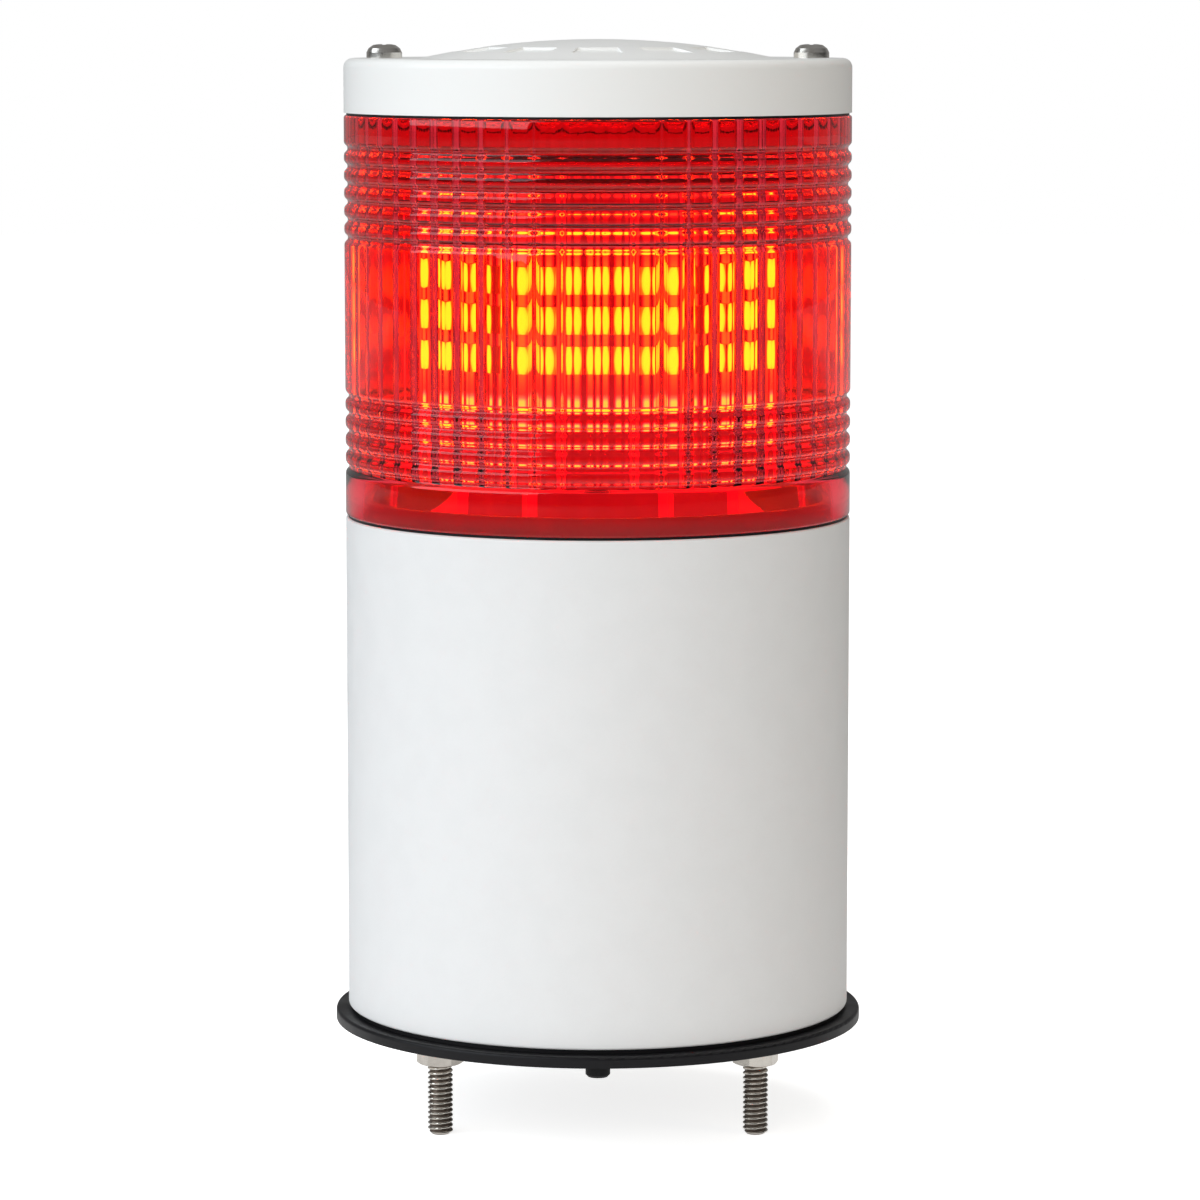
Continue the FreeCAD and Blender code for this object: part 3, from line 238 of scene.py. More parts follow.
def open_group(
    name: str, kind: TreeKind, takes: dict[str, Channel], gives: dict[str, Channel]
) -> tuple[Wiring, Sockets, Sockets]:
    """A new node group with its interface.

    Args:
        name: the group's name.
        kind: what the group makes.
        takes: inputs and what each holds.
        gives: outputs and what each holds.
    Returns:
        Its wiring, the sockets that its inputs come from, and the sockets that its results go to.
    """
    tree = bpy.data.node_groups.new(name, kind.value)
    for direction, channels in (("INPUT", takes), ("OUTPUT", gives)):
        for label, channel in channels.items():
            tree.interface.new_socket(label, in_out=direction, socket_type=channel.value)
    take = tree.nodes.new("NodeGroupInput").outputs
    give = tree.nodes.new("NodeGroupOutput").inputs
    return Wiring(tree), take, give


def add_object(name: str, data: bpy.types.ID) -> bpy.types.Object:
    """A new object in the scene.

    Args:
        name: the object's name.
        data: its mesh, lamp or camera.
    Returns:
        The object.
    """
    made = bpy.data.objects.new(name, data)
    bpy.context.scene.collection.objects.link(made)
    return made


# ---- effects shared by the finishes


class Effects:
    """Shader groups that more than one finish uses, each built once."""

    CLOUD_EDGE = (0.34, 0.66)
    OUTWARD = 0.7
    ROWS_REACH = 1.35

    def __init__(self) -> None:
        """Builds the groups."""
        self.mould_grain = self._mould_grain()
        self.soft_cloud = self._soft_cloud()
        self.fine_scratches = self._fine_scratches()
        self.chip_window = self._chip_window()

    def _mould_grain(self) -> Tree:
        """Fine pebbled texture of a spark-finished mould.

        Returns:
            A group from Position and Grain (metres) to Height.
        """
        takes = {"Position": Channel.VECTOR, "Grain": Channel.VALUE}
        wire, take, give = open_group("mould_grain", TreeKind.EFFECT, takes, {"Height": Channel.VALUE})
        scale = wire.over(1.0, take["Grain"])
        wire.feed(give["Height"], wire.noise(take["Position"], scale, 2.0, 0.6))
        return wire.tree

    def _soft_cloud(self) -> Tree:
        """Slow uneven patches, as flow in a moulding or light handling leaves.

        Returns:
            A group from Position and Patch (metres) to Mask.
        """
        takes = {"Position": Channel.VECTOR, "Patch": Channel.VALUE}
        wire, take, give = open_group("soft_cloud", TreeKind.EFFECT, takes, {"Mask": Channel.VALUE})
        scale = wire.over(1.0, take["Patch"])
        cloud = wire.noise(take["Position"], scale, 4.0, 0.55)
        wire.feed(give["Mask"], wire.ease(cloud, self.CLOUD_EDGE))
        return wire.tree

    def _fine_scratches(self) -> Tree:
        """Drawn or turned lines: noise stretched along one direction.

        Returns:
            A group from Position, Stretch (1/metres each way) to Line.
        """
        takes = {"Position": Channel.VECTOR, "Stretch": Channel.VECTOR}
        wire, take, give = open_group("fine_scratches", TreeKind.EFFECT, takes, {"Line": Channel.VALUE})
        drawn = wire.vector("MULTIPLY", take["Position"], take["Stretch"])
        wire.feed(give["Line"], wire.noise(drawn.outputs[0], 1.0, 3.0))
        return wire.tree

    def _chip_window(self) -> Tree:
        """Places on an upright flat that carries a grid of LED packages, three rows high.

        Returns:
            A group from Position, Normal and the grid (metres) to Distance from the nearest package's
            middle, which Slim shortens upwards, Aside from the nearest upright column, Beyond the top or
            bottom row, which Droop shortens below, and Front, which is 1 on the face that looks outwards.
        """
        takes = dict.fromkeys(("Position", "Normal"), Channel.VECTOR)
        takes |= dict.fromkeys(("Across", "Up", "Middle", "Slim", "Droop"), Channel.VALUE)
        gives = dict.fromkeys(("Distance", "Aside", "Beyond", "Front"), Channel.VALUE)
        wire, take, give = open_group("chip_window", TreeKind.EFFECT, takes, gives)
        flat = wire.vector("MULTIPLY", take["Position"], (1.0, 1.0, 0.0)).outputs[0]
        outward = wire.vector("NORMALIZE", flat).outputs[0]
        facing = wire.vector("DOT_PRODUCT", outward, take["Normal"]).outputs["Value"]
        wire.feed(give["Front"], wire.math("GREATER_THAN", facing, self.OUTWARD))
        sideways = wire.vector("CROSS_PRODUCT", take["Position"], take["Normal"]).outputs[0]
        half = wire.times(take["Across"], 0.5)
        across = wire.minus(half, wire.math("PINGPONG", wire.split(sideways)["Z"], half))
        wire.feed(give["Aside"], across)
        height = wire.split(take["Position"])["Z"]
        lift = wire.minus(height, take["Middle"])
        last = wire.times(take["Up"], self.ROWS_REACH)
        past = wire.minus(wire.math("ABSOLUTE", lift), last)
        low = wire.math("LESS_THAN", lift, 0.0)
        droop = wire.math("MULTIPLY_ADD", low, wire.minus(take["Droop"], 1.0), 1.0)
        wire.feed(give["Beyond"], wire.times(wire.math("MAXIMUM", past, 0.0), droop))
        rise = wire.math("PINGPONG", lift, wire.times(take["Up"], 0.5))
        rise = wire.times(rise, take["Slim"])
        square = wire.plus(wire.times(across, across), wire.times(rise, rise))
        wire.feed(give["Distance"], wire.math("SQRT", square))
        return wire.tree


# ---- finishes


class Surface:
    """A material under construction: its Principled shader, object coordinates and wiring."""

    BOUNCE = 0.1

    def __init__(self, name: str, effects: Effects) -> None:
        """Args:
            name: the material's name.
            effects: the shared effect groups.
        """
        self.effects = effects
        self.material = bpy.data.materials.new(name)
        self.material.use_nodes = True
        self.wire = Wiring(self.material.node_tree)
        self.shader = self.wire.tree.nodes["Principled BSDF"]
        coordinates = self.wire.node("ShaderNodeTexCoord")
        self.place = coordinates.outputs["Object"]
        self.facing = coordinates.outputs["Normal"]

    def effect(self, group: Tree, **values: object) -> Node:
        """Places an effect group that reads this piece's own coordinates.

        Args:
            group: the effect.
            values: its inputs, by name.
        Returns:
            The group node.
        """
        return self.wire.node("ShaderNodeGroup", {"Position": self.place, **values}, node_tree=group)

    def bump(self, height: object, depth: float) -> None:
        """Raises the surface by a height field.

        Args:
            height: socket from 0 to 1.
            depth: metres from 0 to 1.
        """
        relief = self.wire.node("ShaderNodeBump", {"Strength": 1.0, "Distance": depth, "Height": height})
        self.wire.feed(self.shader.inputs["Normal"], relief.outputs["Normal"])

    def glow(self, colour: object, power: object) -> None:
        """Makes the surface shine to the eye, and only a little on its surroundings.

        Args:
            colour: what colour it shines.
            power: how strongly.
        """
        self.material.cycles.emission_sampling = "NONE"
        spread = self.wire.node("ShaderNodeLightPath").outputs["Is Diffuse Ray"]
        seen = self.wire.times(power, self.wire.remap(spread, 1.0, self.BOUNCE))
        self.set(Emission_Color=colour, Emission_Strength=seen)

    def set(self, **values: object) -> None:
        """Sets the shader's own sockets to numbers or colours, or joins outputs to them.

        Args:
            values: socket names with underscores for spaces.
        """
        for label, value in values.items():
            self.wire.feed(self.shader.inputs[label.replace("_", " ")], rgba(value))


@dataclass(frozen=True)
class Finish:
    """A finish by its name; each kind wires its own surface."""

    name: str

    def build(self, effects: Effects) -> bpy.types.Material:
        """Makes the material.

        Args:
            effects: the shared effect groups.
        Returns:
            The material.
        """
        surface = Surface(self.name, effects)
        self.dress(surface)
        return surface.material

    def dress(self, surface: Surface) -> None:
        """Wires the surface; every kind of finish says how."""
        raise NotImplementedError


@dataclass(frozen=True)
class MouldedPlastic(Finish):
    """Opaque moulded plastic with a pebbled skin and slightly uneven gloss."""

    colour: Triple
    shade: Triple
    gloss: Span
    grain: float
    grain_depth: float
    patch: float = 0.03
    specular: float = 0.5

    def dress(self, surface: Surface) -> None:
        """Wires the surface.

        Args:
            surface: the surface under construction.
        """
        cloud = surface.effect(surface.effects.soft_cloud, Patch=self.patch).outputs["Mask"]
        grain = surface.effect(surface.effects.mould_grain, Grain=self.grain).outputs["Height"]
        mottle = surface.wire.math("MULTIPLY_ADD", grain, 0.6, surface.wire.times(cloud, 0.4))
        surface.set(Base_Color=surface.wire.blend(mottle, self.shade, self.colour))
        surface.set(Roughness=surface.wire.remap(cloud, *self.gloss), Specular_IOR_Level=self.specular)
        surface.bump(grain, self.grain_depth)


@dataclass(frozen=True)
class TintedClear(Finish):
    """Clear coloured moulding: the colour is what light keeps after one pass through a wall."""

    tint: Triple
    roughness: float
    ior: float
    ripple: float
    ripple_depth: float

    def dress(self, surface: Surface) -> None:
        """Wires the surface.

        Args:
            surface: the surface under construction.
        """
        cloud = surface.effect(surface.effects.soft_cloud, Patch=self.ripple).outputs["Mask"]
        surface.set(Base_Color=surface.wire.blend(cloud, dim(self.tint, 0.93), self.tint))
        surface.set(Roughness=self.roughness, IOR=self.ior, Transmission_Weight=1.0, Metallic=0.0)
        surface.bump(cloud, self.ripple_depth)


@dataclass(frozen=True)
class BareMetal(Finish):
    """Metal with drawn or turned lines."""

    colour: Triple
    shade: Triple
    gloss: Span
    stretch: Triple
    depth: float
    patch: float = 4.0 * MM

    def dress(self, surface: Surface) -> None:
        """Wires the surface.

        Args:
            surface: the surface under construction.
        """
        line = surface.effect(surface.effects.fine_scratches, Stretch=self.stretch).outputs["Line"]
        cloud = surface.effect(surface.effects.soft_cloud, Patch=self.patch).outputs["Mask"]
        surface.set(Base_Color=surface.wire.blend(cloud, self.shade, self.colour), Metallic=1.0)
        surface.set(Roughness=surface.wire.remap(line, *self.gloss))
        surface.bump(line, self.depth)


@dataclass(frozen=True)
class RolledThread(Finish):
    """Bright steel with painted shade: the thread roots are painted a dark brown."""

    colour: Triple
    # Painted shade: the colour painted into the thread roots.
    root: Triple
    gloss: Span
    patch: float = 3.0 * MM
    attribute: str = "thread_root"

    def dress(self, surface: Surface) -> None:
        """Wires the surface.

        Args:
            surface: the surface under construction.
        """
        wire = surface.wire
        cloud = surface.effect(surface.effects.soft_cloud, Patch=self.patch).outputs["Mask"]
        depth = wire.node("ShaderNodeAttribute", attribute_name=self.attribute).outputs["Fac"]
        bright = wire.blend(cloud, dim(self.colour, 0.9), self.colour)
        # Painted shade: the thread's depth darkens the colour towards the root colour.
        surface.set(Base_Color=wire.blend(depth, bright, self.root), Metallic=1.0)
        surface.set(Roughness=wire.remap(depth, *self.gloss))


@dataclass(frozen=True)
class CircuitBoard(Finish):
    """Solder mask over a faint raised pattern of tracks."""

    mask: Triple
    track: Triple
    gloss: float
    pitch: float = 3.0 * MM
    edge: Span = (0.42, 0.5)
    relief: float = 0.03 * MM

    def dress(self, surface: Surface) -> None:
        """Wires the surface.

        Args:
            surface: the surface under construction.
        """
        wire = surface.wire
        feeds = {"Vector": surface.place, "Scale": 1.0 / self.pitch}
        cells = wire.node("ShaderNodeTexVoronoi", feeds, distance="MANHATTAN")
        step = wire.ease(cells.outputs["Distance"], self.edge)
        surface.set(Base_Color=wire.blend(step, self.track, self.mask), Roughness=self.gloss)
        surface.bump(step, self.relief)


@dataclass(frozen=True)
class LampGrid:
    """Where the LED packages sit on each upright board, and how the glow painted beside them fades past
    them.
    """

    across: float = 5.9 * MM
    up: float = 7.2 * MM
    middle: float = 161.3 * MM
    slim: float = 0.75
    droop: float = 0.7

    def read(self, surface: Surface) -> Node:
        """Places the grid's effect group in a material."""
        grid = {"Normal": surface.facing, "Across": self.across, "Up": self.up, "Middle": self.middle}
        return surface.effect(surface.effects.chip_window, Slim=self.slim, Droop=self.droop, **grid)


@dataclass(frozen=True)
class PaintedSpillGlow(Finish):
    """Pale plastic or solder mask with painted light: a glow painted beside the burning packages stands in
    for the light that they throw on it.
    """

    pale: Triple
    # Painted light: the glow colour painted beside the packages.
    painted_spill: Triple
    # Painted light: a red glow painted away from the packages, in place of light bounced inside the red
    # lens.
    painted_cavity_glow: Triple
    # Painted glow strength beside the packages, then away from them.
    painted_streak_power: float
    painted_wash_power: float
    reach: float
    front_only: bool
    # Painted glow strength of a band under the lowest row, where no package shines.
    painted_pool: float = 0.0
    pool_height: float = 144.5 * MM
    pool_half: float = 3.6 * MM
    strip: Span = (0.38, 0.10)
    patch: float = 2.0 * MM
    grid: LampGrid = LampGrid()

    def dress(self, surface: Surface) -> None:
        """Wires the surface.

        Args:
            surface: the surface under construction.
        """
        wire = surface.wire
        cloud = surface.effect(surface.effects.soft_cloud, Patch=self.patch).outputs["Mask"]
        lamps = self.grid.read(surface)
        # Painted light: the glow fades away from the packages' columns and rows.
        fade = wire.math("EXPONENT", wire.times(lamps.outputs["Beyond"], -1.0 / self.reach))
        strip = wire.ease(lamps.outputs["Aside"], tuple(self.grid.across * part for part in self.strip))
        if self.front_only:
            strip = wire.times(strip, lamps.outputs["Front"])
        beside = wire.times(strip, fade)
        # Painted light: a band at pool height glows too, though no package shines there.
        height = wire.split(surface.place)["Z"]
        level = wire.math("ABSOLUTE", wire.minus(height, self.pool_height))
        low = wire.times(strip, wire.ease(level, (self.pool_half, self.pool_half * 0.5)))
        lit = wire.math("MAXIMUM", beside, low)
        power = wire.math("MULTIPLY_ADD", low, self.painted_pool, wire.remap(beside, self.painted_wash_power, self.painted_streak_power))
        surface.set(Base_Color=wire.blend(cloud, dim(self.pale, 0.95), self.pale), Roughness=0.4)
        surface.glow(wire.blend(lit, self.painted_cavity_glow, self.painted_spill), power)


@dataclass(frozen=True)
class LitChip(Finish):
    """Burning LED packages: a glowing round window in a pale plastic frame, with a weaker glow painted on
    the frame and the package sides.
    """

    glow: Triple
    rim: Triple
    frame: Triple
    power: float
    window: float
    # Painted light: the frame's glow, as a share of the window's.
    frame_glow: float = 0.07
    # Painted light: the package sides' glow, as a share of the front's.
    side_glow: float = 0.05
    grid: LampGrid = LampGrid()

    def dress(self, surface: Surface) -> None:
        """Wires the surface.

        Args:
            surface: the surface under construction.
        """
        wire = surface.wire
        lamps = self.grid.read(surface)
        lit = wire.ease(lamps.outputs["Distance"], (self.window, self.window * 0.5))
        front = wire.remap(lamps.outputs["Front"], self.side_glow, 1.0)
        strength = wire.times(wire.remap(lit, self.power * self.frame_glow, self.power), front)
        surface.set(Base_Color=wire.blend(lit, self.frame, self.glow), Roughness=0.35)
        surface.glow(wire.blend(lit, self.rim, self.glow), strength)


class Finishes:
    """Every finish of the stack light, and which solids wear which."""

    WHITE_BODY = MouldedPlastic(
        "white_body",
        (0.83, 0.835, 0.84),
        (0.80, 0.805, 0.81),
        gloss=(0.45, 0.58),
        grain=0.45 * MM,
        grain_depth=0.012 * MM,
        patch=0.006,
        specular=0.3,
    )
    WHITE_CAP = MouldedPlastic(
        "white_cap",
        (0.92, 0.925, 0.915),
        (0.91, 0.915, 0.905),
        gloss=(0.30, 0.34),
        grain=0.8 * MM,
        grain_depth=0.003 * MM,
        patch=0.05,
        specular=0.4,
    )
    BLACK_BASE = MouldedPlastic(
        "black_base",
        (0.010, 0.010, 0.011),
        (0.007, 0.007, 0.008),
        gloss=(0.45, 0.6),
        grain=0.5 * MM,
        grain_depth=0.01 * MM,
        specular=0.25,
    )
    RUBBER = MouldedPlastic(
        "black_rubber",
        (0.010, 0.0095, 0.011),
        (0.006, 0.006, 0.007),
        gloss=(0.34, 0.46),
        grain=0.35 * MM,
        grain_depth=0.006 * MM,
        patch=0.012,
        specular=0.25,
    )
    DARK_PART = MouldedPlastic(
        "dark_parts", (0.05, 0.05, 0.052), (0.035, 0.035, 0.037), (0.35, 0.5), 0.3 * MM, 0.006 * MM
    )
    TERMINAL = MouldedPlastic(
        "terminal_green", (0.05, 0.27, 0.12), (0.04, 0.22, 0.1), (0.35, 0.5), 0.4 * MM, 0.006 * MM
    )
    TAPE = MouldedPlastic(
        "winding_tape", (0.72, 0.52, 0.09), (0.62, 0.44, 0.07), (0.25, 0.4), 1.2 * MM, 0.02 * MM
    )
    SLEEVE = MouldedPlastic(
        "can_sleeve", (0.03, 0.05, 0.14), (0.02, 0.04, 0.11), (0.2, 0.3), 1.0 * MM, 0.004 * MM
    )
    LEAD = MouldedPlastic(
        "lead_red", (0.5, 0.02, 0.02), (0.42, 0.015, 0.015), (0.3, 0.4), 0.5 * MM, 0.004 * MM
    )
    SOCKET = MouldedPlastic(
        "socket_ivory", (0.78, 0.75, 0.66), (0.72, 0.69, 0.6), (0.3, 0.45), 0.4 * MM, 0.005 * MM
    )
    RED_LENS = TintedClear(
        "red_lens", (0.92, 0.027, 0.050), roughness=0.015, ior=1.49, ripple=0.009, ripple_depth=0.004 * MM
    )
    STEEL = BareMetal(
        "bright_steel", (0.74, 0.70, 0.64), (0.60, 0.56, 0.51), (0.18, 0.28), (900, 900, 1800), 0.001 * MM
    )
    # The second colour is painted shade for the thread roots.
    THREAD = RolledThread("rolled_thread", (0.90, 0.85, 0.78), (0.14, 0.105, 0.085), (0.22, 0.45))
    CHROME = BareMetal(
        "chrome", (0.93, 0.90, 0.85), (0.84, 0.80, 0.74), (0.16, 0.26), (1500, 1500, 1500), 0.001 * MM
    )
    BRASS = BareMetal(
        "brass", (0.74, 0.55, 0.24), (0.62, 0.45, 0.18), (0.25, 0.4), (800, 800, 4000), 0.004 * MM
    )
    CORE = BareMetal(
        "core_sheet", (0.30, 0.29, 0.28), (0.22, 0.21, 0.20), (0.4, 0.6), (4000, 60, 60), 0.03 * MM
    )
    # Painted light: the boards and the frame beside the packages carry a glow painted on their surface. The
    # boards also carry a band under the lowest row that glows where no lamp stands.
    GLOW_PAINTED_BOARD = PaintedSpillGlow(
        "glow_painted_board",
        pale=(0.40, 0.39, 0.37),
        painted_spill=(1.0, 0.85, 0.04),
        painted_cavity_glow=(1.0, 0.02, 0.12),
        painted_streak_power=5.8,
        painted_wash_power=0.45,
        reach=3.5 * MM,
        front_only=True,
        painted_pool=30.0,
    )
    GLOW_PAINTED_FRAME = PaintedSpillGlow(
        "glow_painted_frame",
        pale=(0.40, 0.40, 0.39),
        painted_spill=(1.0, 0.7, 0.08),
        painted_cavity_glow=(1.0, 0.02, 0.12),
        painted_streak_power=3.2,
        painted_wash_power=1.15,
        reach=4.0 * MM,
        front_only=False,
    )
    DARK_BOARD = CircuitBoard("dark_board", (0.012, 0.016, 0.014), (0.03, 0.04, 0.03), 0.4)
    GREEN_BOARD = CircuitBoard("green_board", (0.02, 0.14, 0.06), (0.05, 0.22, 0.1), 0.35)
    LED = LitChip(
        "lit_led", (0.8, 1.0, 0.012), (1.0, 0.85, 0.012), (0.86, 0.85, 0.8), power=90.0, window=2.6 * MM
    )

    WEAR = dict.fromkeys(("gasket", "cable_bush", "lens_seal", "cap_seal"), RUBBER)
    WEAR |= dict.fromkeys(("plain_washers", "spring_washers", "stud_nuts", "terminal_screws"), STEEL)
    WEAR |= dict.fromkeys(("base_screws", "board_screws", "frame_screws", "hub_screws"), STEEL)
    WEAR |= {
        "housing": WHITE_BODY,
        "top_cap": WHITE_CAP,
        "led_frame": GLOW_PAINTED_FRAME,
        "base_plate": BLACK_BASE,
        "tie_bolts": CHROME,
        "tie_inserts": BRASS,
        "hub_board": DARK_BOARD,
        "control_board": GREEN_BOARD,
        "terminal_block": TERMINAL,
        "transformer_core": CORE,
        "transformer_coil": TAPE,
        "capacitors": SLEEVE,
        "logic_chips": DARK_PART,
        "lead_sockets": SOCKET,
        "lead_plugs": SOCKET,
        "led_leads": LEAD,
    }

    def __init__(self) -> None:
        """Prepares the shared effects."""
        self.effects = Effects()
        self.made: dict[str, bpy.types.Material] = {}

    def get(self, finish: Finish) -> bpy.types.Material:
        """The material of a finish, built on first use.

        Args:
            finish: the finish.
        Returns:
            Its material.
        """
        if finish.name not in self.made:
            self.made[finish.name] = finish.build(self.effects)
        return self.made[finish.name]

    def dress_nodes(self, nodes: dict[str, bpy.types.Object]) -> int:
        """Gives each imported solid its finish.

        Args:
            nodes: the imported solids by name.
        Returns:
            How many were dressed.
        """
        count = 0
        for name, solid in nodes.items():
            finish = self.WEAR.get(name)
            if name.startswith("led_board_"):
                finish = self.GLOW_PAINTED_BOARD
            elif name.startswith("leds_"):
                finish = self.LED
            if finish is None:
                continue
            solid.data.materials.clear()
            solid.data.materials.append(self.get(finish))
            count += 1
        return count


# ---- mesh helpers


def run_tree(
    name: str, mesh: bpy.types.Mesh, tree: Tree, sizes: dict[str, object]
) -> bpy.types.Object:
    """Runs a Geometry Nodes tree on a mesh and keeps the result as a plain mesh.

    Args:
        name: the finished piece's name.
        mesh: what the tree starts from.
        tree: the tree.
        sizes: the tree's inputs by their names.
    Returns:
        The finished object, at the origin, with no modifier.
    """
    holder = add_object(name + "_start", mesh)
    modifier = holder.modifiers.new("shape", "NODES")
    modifier.node_group = tree
    for item in tree.interface.items_tree:
        if item.item_type == "SOCKET" and item.in_out == "INPUT" and item.name in sizes:
            modifier[item.identifier] = sizes[item.name]
    graph = bpy.context.evaluated_depsgraph_get()
    result = bpy.data.meshes.new_from_object(holder.evaluated_get(graph), depsgraph=graph)
    result.name = name
    bpy.data.objects.remove(holder)
    return add_object(name, result)


def line_mesh(name: str, points: list[Span]) -> bpy.types.Mesh:
    """A closed profile in the XZ plane: radius along X and height along Z.

    Args:
        name: the mesh's name.
        points: radius and height pairs, in metres.
    Returns:
        A mesh of vertices and edges.
    """
    edges = [(i, (i + 1) % len(points)) for i in range(len(points))]
    mesh = bpy.data.meshes.new(name)
    mesh.from_pydata([(radius, 0.0, height) for radius, height in points], edges, [])
    return mesh


def finish_tree(wire: Wiring, shape: Socket, take: Sockets, give: Sockets) -> None:
    """Ends a shape tree: sharp edges, Realize Instances, Set Material.

    Args:
        wire: the tree's wiring.
        shape: the geometry so far.
        take: the group's inputs, with Finish among them.
        give: the group's results.
    """
    real = wire.node("GeometryNodeRealizeInstances", {"Geometry": shape})
    faces = wire.node("GeometryNodeSetShadeSmooth", {"Geometry": real.outputs[0]}, domain="FACE")
    angle = wire.node("GeometryNodeInputMeshEdgeAngle").outputs["Unsigned Angle"]
    sharp = wire.math("GREATER_THAN", angle, SHARP)
    feeds = {"Geometry": faces.outputs[0], "Selection": sharp, "Shade Smooth": False}
    edges = wire.node("GeometryNodeSetShadeSmooth", feeds, domain="EDGE")
    feeds = {"Geometry": edges.outputs[0], "Material": take["Finish"]}
    wire.feed(give["Geometry"], wire.node("GeometryNodeSetMaterial", feeds).outputs[0])


def turned_grid(wire: Wiring, profile: Socket, columns: object) -> tuple[Socket, Socket, Socket, Socket]:
    """A closed profile turned about Z, as a grid that still has to be placed.

    Args:
        wire: the tree's wiring.
        profile: geometry whose points are the closed profile, in order.
        columns: columns round the axis.
    Returns:
        The grid, and for each of its points the angle, the radius and the height.
    """
    size = wire.node("GeometryNodeAttributeDomainSize", {"Geometry": profile}, component="MESH")
    points = size.outputs["Point Count"]
    rows = wire.plus(points, 1.0)
    feeds = {"Vertices X": wire.plus(columns, 1.0), "Vertices Y": rows}
    grid = wire.node("GeometryNodeMeshGrid", feeds)
    index = wire.node("GeometryNodeInputIndex").outputs[0]
    column = wire.math("FLOOR", wire.over(wire.plus(index, 0.5), rows))
    row = wire.minus(index, wire.times(column, rows))
    place = wire.math("FLOOR", wire.plus(wire.math("MODULO", row, points), 0.5))
    feeds = {"Geometry": profile, "Value": wire.node("GeometryNodeInputPosition").outputs[0], "Index": place}
    sample = wire.node("GeometryNodeSampleIndex", feeds, data_type="FLOAT_VECTOR", domain="POINT")
    found = wire.split(sample.outputs["Value"])
    angle = wire.times(wire.over(column, columns), math.tau)
    return grid.outputs["Mesh"], angle, found["X"], found["Z"]


def place_round(wire: Wiring, grid: Socket, angle: object, radius: object, height: object) -> Socket:
    """Puts a turned grid's points where they belong and closes its seam.

    Args:
        wire: the tree's wiring.
        grid: the grid.
        angle: each point's angle from the front, in radians.
        radius: each point's radius.
        height: each point's height.
    Returns:
        The closed shape.
    """
    aside = wire.times(radius, wire.math("SINE", angle))
    back = wire.times(wire.times(radius, wire.math("COSINE", angle)), -1.0)
    put = wire.node("ShaderNodeCombineXYZ", {"X": aside, "Y": back, "Z": height})
    move = wire.node("GeometryNodeSetPosition", {"Geometry": grid, "Position": put.outputs[0]})
    feeds = {"Geometry": move.outputs[0], "Distance": WELD}
    return wire.node("GeometryNodeMergeByDistance", feeds).outputs[0]


def face_out(piece: bpy.types.Object) -> None:
    """Turns all faces of a closed shape outwards, by the sign of its volume.

    Args:
        piece: the closed shape.
    """
    mesh = piece.data
    mesh.calc_loop_triangles()
    volume = 0.0
    for triangle in mesh.loop_triangles:
        first, second, third = (mesh.vertices[i].co for i in triangle.vertices)
        volume += first.dot(second.cross(third))
    if volume < 0:
        mesh.flip_normals()


# ---- the red lens


